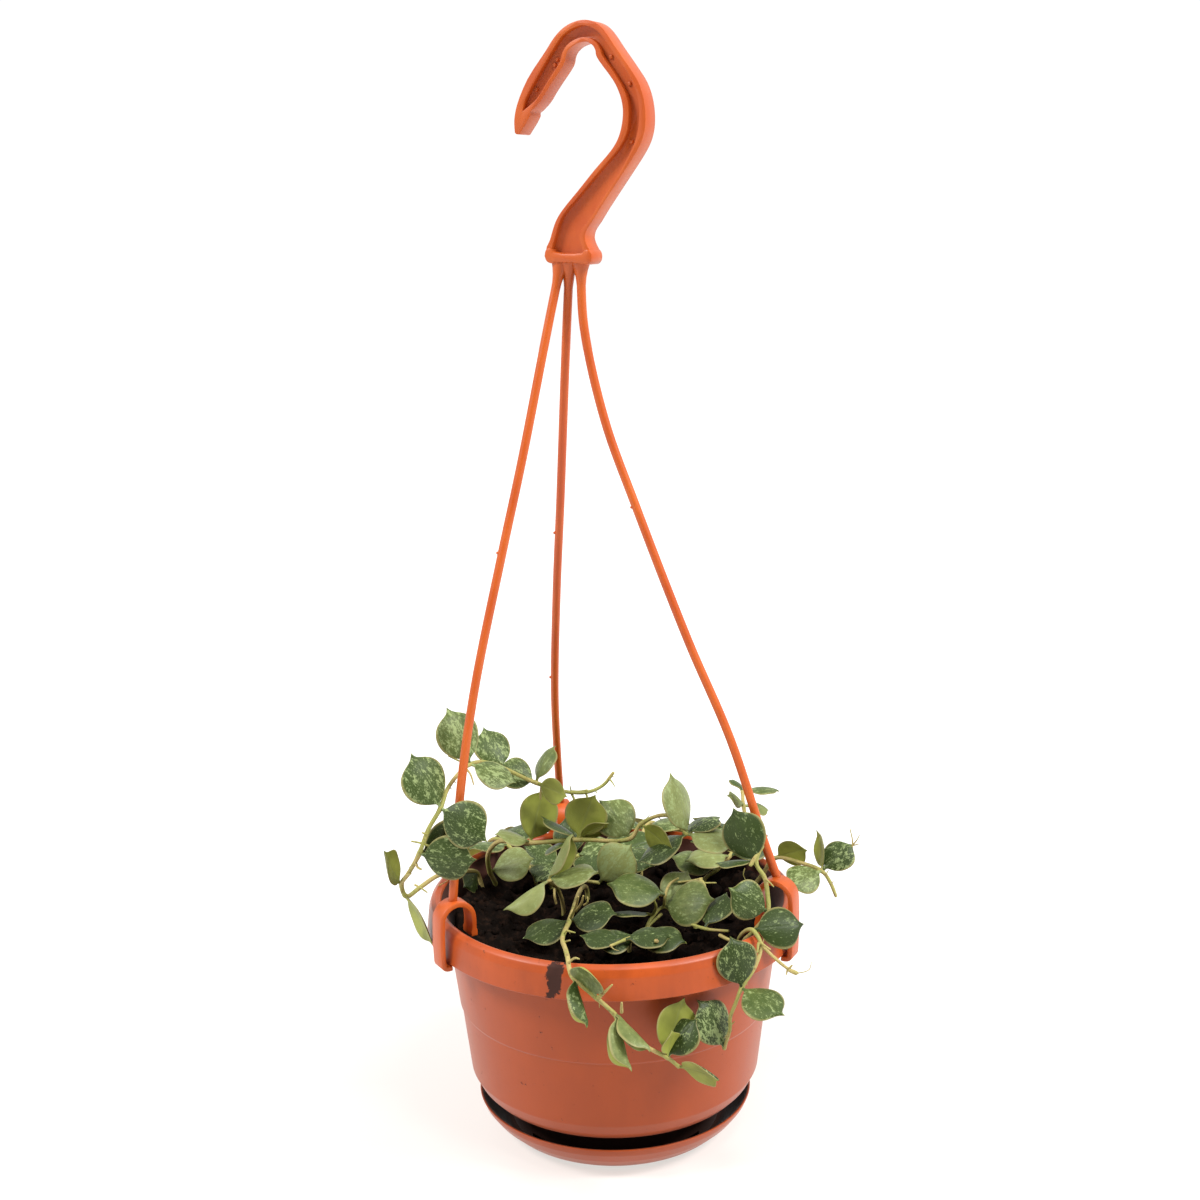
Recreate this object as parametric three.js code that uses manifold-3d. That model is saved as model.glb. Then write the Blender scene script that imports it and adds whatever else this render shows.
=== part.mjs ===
// A waxflower vine, Hoya curtisii, in a nursery hanging pot with its saucer and three-armed hanger.
// Millimetres, +Z up. The pot's axis is Z, the saucer stands on z = 0, and -Y is the front.

import * as THREE from "three";
import { mergeVertices } from "three/addons/utils/BufferGeometryUtils.js";
import Module from "manifold-3d";

const wasm = await Module();
wasm.setup();

// Driving dimensions.
const GAP = 0.3;
const FACETS = 40;

const SAUCER = { foot: 39.6, rim: 52.2, height: 13.5, floor: 2.3 };
const POT = {
  rim: 70,
  crest: 92,
  bandFoot: 79.7,
  floorTop: 17,
  floorUnder: 15.2,
  footOuter: 40,
  footInner: 37.5,
  holeRadius: 3.5,
  holeCircle: 27,
  holes: 6,
  notchWidth: 8,
  notchHeight: 3,
  notches: 4,
  firstNotch: 45,
};
const SOIL = { top: 80, edge: 77.5, edgeDip: 1.5, facets: 28, holeGap: 0.7, holeFacets: 7, rootDepth: 11 };
const HANGER = {
  turn: -26,
  crookX: -8,
  stations: 28,
  thickness: 8,
  webRim: 2,
  webDepth: 2.5,
  webStations: 22,
  barWidth: 18,
  barMiddle: -3.2,
  barHeight: 5.5,
  barFoot: 324,
  rod: 1.6,
  rodSides: 7,
  rodRoot: 2.6,
  rodRootLength: 6,
};
const CLIP = { middle: 66.1, halfSpan: 6.2, strap: 1.9, width: 7, lip: 78.3, innerEnd: 88.5, stations: 16 };

// A clip's lip from its inward end out to the leg: inward from the leg, and up from the lip.
const CLIP_LIP = [
  [3.4, 0],
  [1.4, 0],
  [0.3, 0.7],
  [0, 2.4],
];
const LEAF = { petiole: 2, breadth: 0.9, ribThick: 1.1, edgeThick: 0.7, arch: 0.07, fold: 12 };
const STEM_SIDES = 5;
const BRANCH_SHARE = 0.8;

const radians = THREE.MathUtils.degToRad;

// A repeatable run of numbers from 0 to 1.
function seeded(seed) {
  let state = seed * 7919;
  return () => {
    state = (state * 16807 + 11) % 2147483647;
    return state / 2147483647;
  };
}

// Outer and inner faces of the pot as radius and height, from the floor's underside up over the rim.
const POT_PROFILE = [
  [0, POT.floorUnder],
  [POT.footInner, POT.floorUnder],
  [POT.footInner, SAUCER.floor + GAP],
  [POT.footOuter, SAUCER.floor + GAP],
  [POT.footOuter + 0.5, POT.floorUnder],
  [47, 16],
  [52, 18.8],
  [54.9, 24.4],
  [58, 50.2],
  [58.6, 50.9],
  [62.6, 81],
  [65, 87.6],
  [67.5, 87],
  [68.6, POT.bandFoot],
  [POT.rim, POT.bandFoot],
  [69.1, 88],
  [68.2, 90.6],
  [66.5, POT.crest],
  [64.7, 91],
  [61.1, 81],
  [56.6, 50.5],
  [53.4, 25],
  [50.8, 20.3],
  [46.5, POT.floorTop + 0.7],
  [44, POT.floorTop],
  [0, POT.floorTop],
];

const SAUCER_PROFILE = [
  [0, 0],
  [SAUCER.foot, 0],
  [43.5, 2.4],
  [48.2, 6.8],
  [51, 10.6],
  [SAUCER.rim, SAUCER.height],
  [SAUCER.rim - 1, SAUCER.height],
  [49.6, 11.2],
  [46.9, 7.8],
  [43.1, 3.6],
  [41.2, SAUCER.floor],
  [0, SAUCER.floor],
];

const SOIL_PROFILE = [
  [0, POT.floorTop + GAP],
  [43.5, POT.floorTop + GAP],
  [46.2, POT.floorTop + 1.1],
  [50.2, 20.7],
  [53, 25.2],
  [56.2, 50.6],
  [60, 78],
  [56, 79],
  [47, SOIL.top],
  [36, SOIL.top],
  [24, SOIL.top],
  [12, SOIL.top],
  [0, SOIL.top],
];

// Heaps on the soil: where, how high, and how far they spread.
const HEAPS = [
  { x: 40, y: 38, height: 5, spread: 9.5 },
  { x: -46, y: 4, height: 4, spread: 13 },
  { x: -30, y: 48, height: 5, spread: 14 },
  { x: 4, y: 56, height: 5, spread: 16 },
  { x: 52, y: 18, height: 6, spread: 14 },
];

// The crook's centre line across the hanger's plane: sideways, up, and half its width there.
const CROOK = [
  [-20.5, 367.9, 1.4],
  [-19.9, 372, 2.8],
  [-18.2, 376.8, 3.3],
  [-13.6, 384.8, 3.6],
  [-7.5, 393, 3.5],
  [0.2, 398.7, 3.6],
  [5.6, 400.5, 3.5],
  [9.7, 397.1, 3],
  [13.6, 390.8, 3.1],
  [18.7, 384.2, 3.9],
  [22.8, 373.6, 4],
  [20.9, 364.4, 3.8],
  [11.3, 352.4, 4.1],
  [4.4, 344.6, 4.9],
  [-1.7, 337.4, 5.9],
  [-3.3, 328, 8],
];

// Each arm runs from the bar under the crook down to the top of its clip on the rim.
const ARMS = [
  {
    bearing: 211,
    top: 102.6,
    line: [
      [-15, 3, 327],
      [-19.4, -1, 304],
      [-29.5, -10, 257],
      [-37, -16.5, 225],
      [-47.5, -26, 178],
      [-53.3, -31, 141.5],
      [-57, -34.2, 102],
    ],
  },
  {
    bearing: 108.5,
    top: 105.5,
    line: [
      [-11.9, 1.9, 327],
      [-14.2, 6, 288],
      [-17, 15, 240],
      [-19.5, 26, 202],
      [-21.5, 40, 160],
      [-21.5, 50, 134],
      [-20.8, 62, 104.6],
    ],
  },
  {
    bearing: -26.5,
    top: 107.5,
    line: [
      [-8, 0.1, 327],
      [-7.2, -0.4, 302],
      [-0.4, -3.1, 269.5],
      [10.3, -7.5, 239],
      [28.1, -14.8, 192],
      [43, -21, 156.5],
      [55.3, -26.1, 118],
      [59.3, -27.6, 106.6],
    ],
  },
];

// Leafy stems. A stem is a list of way-points whose first two stand upright in the soil.
// A leaf is: way-point it grows from, compass bearing, lift, roll about its rib, length, and
// the fold of its two halves where that isn't the usual one. Angles are in degrees.
const VINES = {
  vine_left_arch: {
    radius: 1,
    stem: [
      [-51, 24, 70],
      [-51, 24, 82],
      [-53, 25, 89],
      [-56, 20, 92],
      [-61, 14, 94],
      [-67, 9, 94.5],
      [-73, 4, 92],
      [-76.5, -14, 96],
      [-77.5, -16, 101],
      [-73.5, -26, 109.5],
      [-68, -36, 121],
      [-64.5, -36, 130],
      [-60, -35, 137.5],
      [-58, -30, 142.5],
      [-54.5, -25.5, 146.5],
      [-50.5, -20, 148.5],
      [-46, -13, 147],
      [-39, -6, 142],
      [-28, 4, 133],
      [-17, 8, 128],
      [-9, 10, 127],
      [-3, 12, 129],
      [1, 12, 134],
    ],
    leaves: [
      [8, 235, 65, 115, 17],
      [7, 318, -52, -65, 21],
      [2, 250, -5, -60, 13],
      [10, 350, -5, 92, 21],
      [10, 40, 15, 105, 20],
      [12, 170, 60, -40, 22],
      [12, 335, -25, 70, 21],
      [15, 150, 65, -20, 22],
      [15, 355, -25, 20, 18],
      [17, 135, 45, -15, 18],
      [18, 175, 25, -50, 16],
      [18, 50, 50, -20, 16],
      [18, 330, -15, -85, 14],
    ],
  },
  vine_centre: {
    radius: 1.1,
    stem: [
      [-46, 29, 70],
      [-46, 29, 82],
      [-48, 26, 89],
      [-48, 20, 99],
      [-43, 15, 106],
      [-31, 10, 107],
      [-13, 5, 110],
      [7, 1, 111.5],
      [11, 2, 117],
      [21, 0, 121],
      [28, -2, 114],
    ],
    leaves: [
      [5, 50, 65, -105, 22],
      [6, 340, 70, -75, 20],
      [7, 130, 35, -40, 20],
      [5, 195, 20, -10, 15],
      [6, 350, 30, -45, 14],
      [2, 355, 20, 40, 19],
      [6, 155, 20, 20, 17],
      [6, 150, -30, 0, 17],
      [8, 320, -30, -75, 18],
      [10, 140, 70, 10, 24],
      [10, 345, -10, 15, 19],
      [10, 40, 10, -5, 17],
      [10, 190, -30, -5, 21],
    ],
  },
  vine_front_left: {
    radius: 0.9,
    stem: [
      [-19, 8, 70],
      [-19, 8, 82],
      [-21, 2, 92],
      [-24, -4, 97],
      [-14.5, -4, 97.5],
      [-5, -2.5, 95.5],
    ],
    leaves: [
      [3, 25, 60, -45, 20, 45],
      [3, 200, -30, -5, 20, 40],
      [3, 350, 15, 10, 20],
      [5, 355, 50, 75, 20],
    ],
  },
  vine_front_trail: {
    radius: 1,
    stem: [
      [-10, 24, 70],
      [-10, 24, 82],
      [-12, 14, 86.5],
      [-16, -18, 87],
      [-18, -40, 90],
      [-16.5, -57, 93.5],
      [-15.5, -66, 94.5],
      [-14, -73, 91],
      [-6, -75, 84],
      [0, -75, 78],
      [5, -74, 70],
      [12, -71, 63],
      [18, -68, 58],
      [22, -65, 53],
    ],
    leaves: [
      [3, 345, 15, 25, 19],
      [3, 205, -14, -10, 19],
      [8, 230, 60, 0, 17],
      [7, 295, -50, -80, 18, 50],
      [9, 290, -50, -100, 20, 50],
      [9, 320, -30, -55, 18, 40],
      [12, 50, 62, -110, 21],
      [12, 305, 70, 10, 12],
      [12, 15, 50, 25, 17],
      [13, 315, 5, -55, 18],
    ],
  },
  vine_middle: {
    radius: 0.8,
    stem: [
      [12, -17, 70],
      [12, -17, 82],
      [15, -14, 87],
      [19, -13, 90],
      [25, -20, 88],
      [33, -30, 88.5],
      [41, -38, 91],
    ],
    branch: [
      [19, -13, 90],
      [19.5, -15, 95.5],
      [21.5, -9, 97.5],
      [24.5, -9, 99.5],
    ],
    leaves: [
      [8, 175, 10, -20, 22],
      [3, 329, 18, 50, 22],
      [3, 45, 35, 30, 17],
      [5, 50, 30, -10, 17],
      [2, 190, 5, 20, 17],
    ],
  },
  vine_front_low: {
    radius: 0.8,
    stem: [
      [6, -27, 70],
      [6, -27, 82],
      [8, -32, 87],
      [4, -39, 88.5],
      [-1, -45, 89],
    ],
    leaves: [
      [2, 205, -3, -15, 17],
      [2, 345, -2, 15, 19],
      [3, 10, 0, 10, 17],
      [3, 175, 0, -10, 16],
    ],
  },
  vine_right_upright: {
    radius: 1,
    stem: [
      [47, -29, 70],
      [47, -29, 82],
      [50, -35, 89],
      [55, -38, 98],
      [55, -36, 104],
      [54, -35, 110],
      [51, -34, 115],
      [53, -31, 121],
      [49.5, -27, 125],
      [48, -16, 130],
      [48, -12, 134],
    ],
    leaves: [
      [6, 135, 60, -70, 21],
      [6, 165, -10, 10, 15],
      [9, 220, 35, -40, 10],
      [9, 25, -20, 20, 11],
      [10, 15, -5, -5, 14],
      [10, 115, 10, 25, 9],
      [3, 195, 35, -70, 18],
    ],
  },
  vine_right_trail: {
    radius: 0.9,
    stem: [
      [44, -33, 70],
      [44, -33, 81],
      [46, -40, 91],
      [49, -45, 94.3],
      [51.5, -50, 91],
      [49, -55, 85],
      [44, -59, 79],
      [42, -60, 74],
      [40, -61, 69],
      [40, -61, 65],
      [38, -60, 57],
    ],
    branch: [
      [51.5, -50, 91],
      [56, -52, 87],
      [61, -53, 83],
      [64, -54, 82],
    ],
    leaves: [
      [3, 10, 0, 50, 19],
      [6, 150, 80, -40, 19],
      [6, 315, -15, 15, 19],
      [10, 165, 65, -35, 20],
    ],
  },
  vine_right_side: {
    radius: 1,
    stem: [
      [53, 13, 70],
      [53, 13, 84],
      [58, 11, 93],
      [62, 9, 100],
      [71, 4, 100],
      [79, 0, 98],
      [82, -2, 94],
      [84, -3, 89],
    ],
    leaves: [
      [3, 325, 25, -70, 15],
      [5, 210, -8, -30, 17],
      [5, 20, 35, 35, 16],
      [5, 95, 50, 95, 16],
    ],
  },
  vine_back_right: {
    radius: 0.9,
    stem: [
      [36, 27, 70],
      [36, 27, 84],
      [41, 25, 89],
      [46, 24, 95],
      [49, 33, 97],
      [47, 44, 96],
      [51, 52, 92],
      [54, 54, 84],
      [53.5, 54, 73],
      [52, 53, 62],
      [50, 52, 51],
    ],
    leaves: [
      [2, 175, 15, -15, 19],
      [3, 195, 0, -10, 18],
      [3, 30, 10, 25, 18],
      [4, 175, 0, -10, 18],
      [4, 120, 10, 0, 18],
      [5, 340, 5, 0, 17],
      [5, 170, 25, 50, 16],
      [7, 320, -25, -60, 18],
      [7, 135, -25, 60, 18],
      [8, 335, -30, -70, 19],
      [9, 130, -35, 65, 18],
      [10, 60, -70, 0, 17],
    ],
  },
  vine_back_soil: {
    radius: 0.9,
    stem: [
      [-24, 30, 70],
      [-24, 30, 82],
      [-21, 36, 88],
      [-14, 41, 89.5],
      [-5, 43, 90],
      [3, 42, 90.5],
    ],
    leaves: [
      [2, 150, 15, -25, 17],
      [2, 235, -5, -15, 17],
      [3, 120, 50, -30, 17],
      [3, 10, 12, 35, 16],
      [4, 20, 10, 30, 18],
      [4, 245, -10, -5, 17],
      [5, 25, 5, 40, 18],
      [5, 325, -10, 25, 17],
      [5, 260, -12, 15, 17],
    ],
  },
  vine_back_middle: trailing(75, 1),
  vine_back_left: trailing(133, 2),
};

// A stem that creeps from the soil over the rim at a bearing and hangs, with paired leaves.
function trailing(bearing, seed) {
  const draw = seeded(seed);
  const route = [
    [45, 0, 70],
    [45, 0, 84],
    [50, 1, 89],
    [59, 2, 94],
    [67, 1, 94.5],
    [73.5, 0, 91],
    [76, -2, 82],
    [75.5, -4, 71],
    [74, -4, 60],
    [72, -1, 50],
    [71, 2, 41],
  ];
  const stem = route.map(([radius, turn, height]) => {
    const angle = radians(bearing + turn);
    return [radius * Math.cos(angle), radius * Math.sin(angle), height];
  });
  const leaves = [];
  for (const node of [3, 5, 7, 9]) {
    const hangs = node > 3;
    for (const side of [-1, 1]) {
      const away = bearing + side * (62 + 20 * draw());
      const lift = hangs ? -10 - 25 * draw() : 4 + 6 * draw();
      const roll = hangs ? side * (50 + 20 * draw()) : side * 8 * draw();
      leaves.push([node, away, lift, roll, 16 + 4 * draw()]);
    }
  }
  leaves.push([10, bearing - 20, -65, 0, 17]);
  return { radius: 0.9, stem, leaves };
}

// Closed geometry to a solid, and a solid to a named mesh.
function solidOf(geometry) {
  const bare = geometry.index ? geometry.toNonIndexed() : geometry.clone();
  bare.deleteAttribute("normal");
  bare.deleteAttribute("uv");
  const merged = mergeVertices(bare, 1e-4);
  return new wasm.Manifold(
    new wasm.Mesh({
      numProp: 3,
      vertProperties: merged.attributes.position.array,
      triVerts: new Uint32Array(merged.index.array),
    }),
  );
}

function meshOf(name, solid, material) {
  const { vertProperties, triVerts } = solid.getMesh();
  const geometry = new THREE.BufferGeometry();
  geometry.setAttribute("position", new THREE.BufferAttribute(vertProperties, 3));
  geometry.setIndex(new THREE.BufferAttribute(triVerts, 1));
  geometry.computeVertexNormals();
  const mesh = new THREE.Mesh(geometry, material);
  mesh.name = name;
  return mesh;
}

function join(solids) {
  return wasm.Manifold.union(solids);
}

// A profile of radius and height turned about the pot's axis.
function turned(profile, facets) {
  const points = profile.map(([radius, height]) => new THREE.Vector2(radius, height));
  const lathe = new THREE.LatheGeometry(points, facets);
  lathe.rotateX(Math.PI / 2);
  return lathe;
}

// A smooth curve whose even steps meet its way-points, so what grows there is well rooted.
class Route extends THREE.CatmullRomCurve3 {
  constructor(points) {
    super(points.map((p) => new THREE.Vector3(...p)), false, "centripetal");
  }

  getUtoTmapping(u) {
    return u;
  }
}

function polygon(sides, radius) {
  const corners = [];
  for (let i = 0; i < sides; i += 1) {
    const angle = (i * 2 * Math.PI) / sides;
    corners.push(new THREE.Vector2(radius * Math.cos(angle), radius * Math.sin(angle)));
  }
  return new THREE.Shape(corners);
}

function tube(points, radius, sides, stepsPerPoint) {
  const steps = stepsPerPoint * (points.length - 1);
  return solidOf(
    new THREE.ExtrudeGeometry(polygon(sides, radius), { steps, extrudePath: new Route(points) }),
  );
}

// A flat ribbon round a centre line of sideways, up and half width, as an outline to extrude.
function ribbon(line, samples, inset) {
  const curve = new THREE.CatmullRomCurve3(line.map((p) => new THREE.Vector3(...p)), false, "centripetal");
  const left = [];
  const right = [];
  for (let i = 0; i <= samples; i += 1) {
    const at = curve.getPoint(i / samples);
    const along = curve.getTangent(i / samples);
    const across = new THREE.Vector2(-along.y, along.x).normalize();
    const half = at.z - inset;
    left.push(new THREE.Vector2(at.x + across.x * half, at.y + across.y * half));
    right.push(new THREE.Vector2(at.x - across.x * half, at.y - across.y * half));
  }
  return new THREE.Shape([...left, ...right.reverse()]);
}

function pot() {
  let body = solidOf(turned(POT_PROFILE, FACETS));
  const bore = new THREE.CylinderGeometry(POT.holeRadius, POT.holeRadius, 6, 8);
  bore.rotateX(Math.PI / 2);
  for (let i = 0; i < POT.holes; i += 1) {
    const angle = (i * 2 * Math.PI) / POT.holes;
    const hole = bore.clone();
    hole.translate(POT.holeCircle * Math.cos(angle), POT.holeCircle * Math.sin(angle), POT.floorTop - 1);
    body = body.subtract(solidOf(hole));
  }
  for (let i = 0; i < POT.notches; i += 1) {
    const notch = new THREE.BoxGeometry(6, POT.notchWidth, 2 * POT.notchHeight);
    notch.translate((POT.footInner + POT.footOuter) / 2, 0, SAUCER.floor + GAP);
    notch.rotateZ(radians(POT.firstNotch) + (i * 2 * Math.PI) / POT.notches);
    body = body.subtract(solidOf(notch));
  }
  return body;
}

// The soil's top rises and dips a little, and more at its heaps.
function soilTop(x, y) {
  const ripple = 0.9 * Math.sin(0.31 * x + 0.7) * Math.cos(0.27 * y) + 0.6 * Math.sin(0.53 * y + 0.2 * x);
  let top = SOIL.top + ripple;
  for (const heap of HEAPS) {
    const away = Math.hypot(x - heap.x, y - heap.y) / heap.spread;
    top += heap.height * Math.exp(-away * away);
  }
  return top;
}

function soil() {
  const body = turned(SOIL_PROFILE, SOIL.facets);
  const at = body.attributes.position;
  for (let i = 0; i < at.count; i += 1) {
    if (at.getZ(i) > SOIL.edge) {
      const dip = at.getZ(i) < SOIL.top - 0.5 ? SOIL.edgeDip : 0;
      at.setZ(i, soilTop(at.getX(i), at.getY(i)) - dip);
    }
  }
  let filling = solidOf(body);
  for (const { stem, radius } of Object.values(VINES)) {
    const [x, y, foot] = stem[0];
    const across = radius + SOIL.holeGap;
    const hole = new THREE.CylinderGeometry(across, across, 2 * SOIL.rootDepth, SOIL.holeFacets);
    hole.rotateX(Math.PI / 2);
    hole.translate(x, y, foot - GAP + SOIL.rootDepth);
    filling = filling.subtract(solidOf(hole));
  }
  return filling;
}

// The strap of one clip: lip under the band, outer leg, arch over the crest, inner leg with a barb.
function clip({ bearing, top }) {
  const half = CLIP.strap / 2;
  const springing = top - half - CLIP.halfSpan;
  const line = CLIP_LIP.map(([inward, up]) => [CLIP.halfSpan - inward, CLIP.lip + up]);
  for (let i = 0; i <= 6; i += 1) {
    const angle = (i * Math.PI) / 6;
    line.push([CLIP.halfSpan * Math.cos(angle), springing + CLIP.halfSpan * Math.sin(angle)]);
  }
  line.push([-CLIP.halfSpan, CLIP.innerEnd + 3], [-CLIP.halfSpan, CLIP.innerEnd]);
  const widths = line.map((_, i) => (i === line.length - 1 ? half + 0.3 : half));
  const strap = new THREE.ExtrudeGeometry(
    ribbon(line.map(([x, z], i) => [x, z, widths[i]]), CLIP.stations, 0),
    { depth: CLIP.width, bevelEnabled: false },
  );
  strap.translate(CLIP.middle, 0, -CLIP.width / 2);
  strap.rotateX(Math.PI / 2);
  strap.rotateZ(radians(bearing));
  return solidOf(strap);
}

// Stands a shape drawn in the hanger's plane upright at its turn, centred on that plane.
function inHangerPlane(shape, depth, offset) {
  const slab = new THREE.ExtrudeGeometry(shape, { depth, bevelEnabled: false, curveSegments: 6 });
  slab.translate(0, 0, offset - depth / 2);
  slab.rotateX(Math.PI / 2);
  slab.rotateZ(radians(HANGER.turn));
  slab.translate(HANGER.crookX, 0, 0);
  return solidOf(slab);
}

function hook() {
  const web = CROOK.slice(1);
  const outline = inHangerPlane(ribbon(CROOK, HANGER.stations, 0), HANGER.thickness, 0);
  const recess = ribbon(web, HANGER.webStations, HANGER.webRim);
  const shift = (HANGER.thickness - HANGER.webDepth) / 2 + 0.5;
  const front = inHangerPlane(recess, HANGER.webDepth + 1, shift);
  const back = inHangerPlane(recess, HANGER.webDepth + 1, -shift);
  const halfBar = HANGER.barWidth / 2;
  const end = HANGER.barHeight / 2;
  const middle = HANGER.barMiddle;
  const bar = new THREE.Shape();
  bar.absarc(middle - halfBar + end, HANGER.barFoot + end, end, Math.PI / 2, 1.5 * Math.PI);
  bar.absarc(middle + halfBar - end, HANGER.barFoot + end, end, 1.5 * Math.PI, 2.5 * Math.PI);
  return join([outline.subtract(front).subtract(back), inHangerPlane(bar, HANGER.thickness + 1, 0)]);
}

function arm({ line }) {
  const [x, y] = line[0];
  const root = new THREE.CylinderGeometry(HANGER.rodRoot, HANGER.rod, HANGER.rodRootLength, 8);
  root.rotateX(Math.PI / 2);
  root.translate(x, y, HANGER.barFoot + 0.5 - HANGER.rodRootLength / 2);
  return join([solidOf(root), tube(line, HANGER.rod, HANGER.rodSides, 2)]);
}

function hanger() {
  return join([hook(), ...ARMS.map(arm), ...ARMS.map(clip)]);
}

// Distance along the blade and half breadth there: round, with a drawn-out point.
const LEAF_OUTLINE = [
  [0.08, 0.3],
  [0.4, 0.5],
  [0.76, 0.32],
  [1, 0.03],
];

// A leaf along +X with its upper face up: a stub of petiole, then the blade in two halves.
function leaf(length, fold) {
  const blade = length - LEAF.petiole;
  const slope = Math.tan(radians(fold));
  const steep = 1 / Math.cos(radians(fold));
  const stations = [];
  for (const [along, half] of LEAF_OUTLINE) {
    stations.push({
      x: LEAF.petiole + along * blade,
      half: (half * blade * LEAF.breadth) / steep,
      top: 0.5 + LEAF.arch * blade * Math.sin(Math.PI * along),
      rib: LEAF.ribThick * steep,
      edge: LEAF.edgeThick * steep,
    });
  }
  const at = [];
  for (const { x, half, top, rib, edge } of stations) {
    const drop = half * slope;
    at.push([x, half, top - drop], [x, 0, top], [x, -half, top - drop]);
    at.push([x, half, top - drop - edge], [x, 0, top - rib], [x, -half, top - drop - edge]);
  }
  const faces = [];
  const quad = (a, b, c, d) => faces.push(at[a], at[b], at[c], at[a], at[c], at[d]);
  for (let i = 0; i < stations.length - 1; i += 1) {
    const [tl, tm, tr, bl, bm, br] = [0, 1, 2, 3, 4, 5].map((k) => 6 * i + k);
    quad(tm, tm + 6, tl + 6, tl);
    quad(tr + 6, tm + 6, tm, tr);
    quad(bl + 6, bm + 6, bm, bl);
    quad(bm, bm + 6, br + 6, br);
    quad(tl, tl + 6, bl + 6, bl);
    quad(br, br + 6, tr + 6, tr);
  }
  const root = [-LEAF.petiole / 2, 0, 0];
  const around = [0, 3, 4, 5, 2, 1];
  around.forEach((corner, i) => faces.push(root, at[corner], at[around[(i + 1) % 6]]));
  const last = 6 * (stations.length - 1);
  quad(last + 4, last + 3, last, last + 1);
  quad(last + 5, last + 4, last + 1, last + 2);
  const geometry = new THREE.BufferGeometry();
  geometry.setAttribute("position", new THREE.Float32BufferAttribute(faces.flat(), 3));
  return geometry;
}

function vine({ radius, stem, branch, leaves }) {
  const parts = [tube(stem, radius, STEM_SIDES, 1)];
  if (branch) {
    parts.push(tube(branch, radius * BRANCH_SHARE, STEM_SIDES, 1));
  }
  const nodes = [...stem, ...(branch ?? [])];
  for (const [node, bearing, lift, roll, length, fold = LEAF.fold] of leaves) {
    const one = leaf(length, fold);
    one.rotateX(radians(roll));
    one.rotateY(radians(-lift));
    one.rotateZ(radians(bearing));
    one.translate(...nodes[node]);
    parts.push(solidOf(one));
  }
  return join(parts);
}

const MATERIALS = {
  pot: new THREE.MeshStandardMaterial({ color: 0xb5623f, roughness: 0.45, metalness: 0 }),
  hanger: new THREE.MeshStandardMaterial({ color: 0xdf6f45, roughness: 0.4, metalness: 0 }),
  soil: new THREE.MeshStandardMaterial({ color: 0x1d1512, roughness: 1, metalness: 0 }),
  foliage: new THREE.MeshStandardMaterial({ color: 0x5b7a3c, roughness: 0.6, metalness: 0 }),
};

const plant = new THREE.Group();
plant.add(meshOf("saucer", solidOf(turned(SAUCER_PROFILE, FACETS)), MATERIALS.pot));
plant.add(meshOf("pot", pot(), MATERIALS.pot));
plant.add(meshOf("soil", soil(), MATERIALS.soil));
plant.add(meshOf("hanger", hanger(), MATERIALS.hanger));
for (const [name, parts] of Object.entries(VINES)) {
  plant.add(meshOf(name, vine(parts), MATERIALS.foliage));
}

export default plant;
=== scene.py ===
"""A waxflower vine, Hoya curtisii, in a nursery hanging pot with its saucer and hanger.

The tables are in millimetres in the part's own frame: the pot's axis is Z, the saucer stands on
z = 0 and -Y is the front. The sizes and colours that a user would change are properties.
"""

import math
import random

import bmesh
import bpy
from bpy.props import FloatProperty, FloatVectorProperty, IntProperty, PointerProperty
from mathutils import Matrix, Vector, noise


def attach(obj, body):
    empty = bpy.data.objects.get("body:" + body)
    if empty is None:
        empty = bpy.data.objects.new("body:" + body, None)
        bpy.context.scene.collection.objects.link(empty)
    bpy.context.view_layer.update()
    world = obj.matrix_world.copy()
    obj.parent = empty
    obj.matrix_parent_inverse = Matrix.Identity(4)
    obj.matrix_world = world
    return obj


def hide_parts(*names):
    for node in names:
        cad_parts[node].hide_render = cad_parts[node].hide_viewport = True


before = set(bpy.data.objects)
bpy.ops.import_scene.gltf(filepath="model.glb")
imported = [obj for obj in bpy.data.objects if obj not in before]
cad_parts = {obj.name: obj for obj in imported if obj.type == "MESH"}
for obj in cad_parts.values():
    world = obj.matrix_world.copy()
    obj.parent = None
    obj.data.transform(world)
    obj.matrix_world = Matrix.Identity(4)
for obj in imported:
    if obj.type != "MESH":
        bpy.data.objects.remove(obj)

bl_info = {
    "name": "Potted trailing hoya",
    "version": (1, 0, 0),
    "blender": (4, 5, 0),
    "location": "View3D > Sidebar > Hoya",
    "description": "Dresses the packed hanging pot with its moulded plastic, soil and leafy stems",
    "category": "Object",
}

MM = 0.001
TAU = 2 * math.pi
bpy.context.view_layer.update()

# Radius and height of the mouldings, from the axis out and back to it.
SAUCER_PROFILE = [
    (0, 0), (39.6, 0), (43.5, 2.4), (48.2, 6.8), (51, 10.6), (52.2, 13.5),
    (51.2, 13.5), (49.6, 11.2), (46.9, 7.8), (43.1, 3.6), (41.2, 2.3), (0, 2.3),
]  # fmt: skip
POT_PROFILE = [
    (0, 15.2), (37.5, 15.2), (37.5, 2.6), (40, 2.6), (40.5, 15.2), (47, 16), (50.2, 17.4),
    (52.6, 20), (54.9, 24.4), (58, 50.2), (58.6, 50.9), (62.6, 81), (65, 87.6), (67.5, 87),
    (68.6, 79.7), (70, 79.7), (69.1, 88), (68.2, 90.6), (66.5, 92), (64.7, 91), (61.1, 81),
    (56.6, 50.5), (53.4, 25), (50.8, 20.3), (46.5, 17.7), (44, 17), (0, 17),
]  # fmt: skip
# The drain holes in the pot's floor and the notches in its ring foot, each in a ring.
DRAINS = {"count": 6, "ring": 27, "radius": 3.5, "height": 16, "depth": 6}
NOTCHES = {"count": 4, "ring": 38.75, "height": 2.6, "size": (6, 8, 6)}
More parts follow.
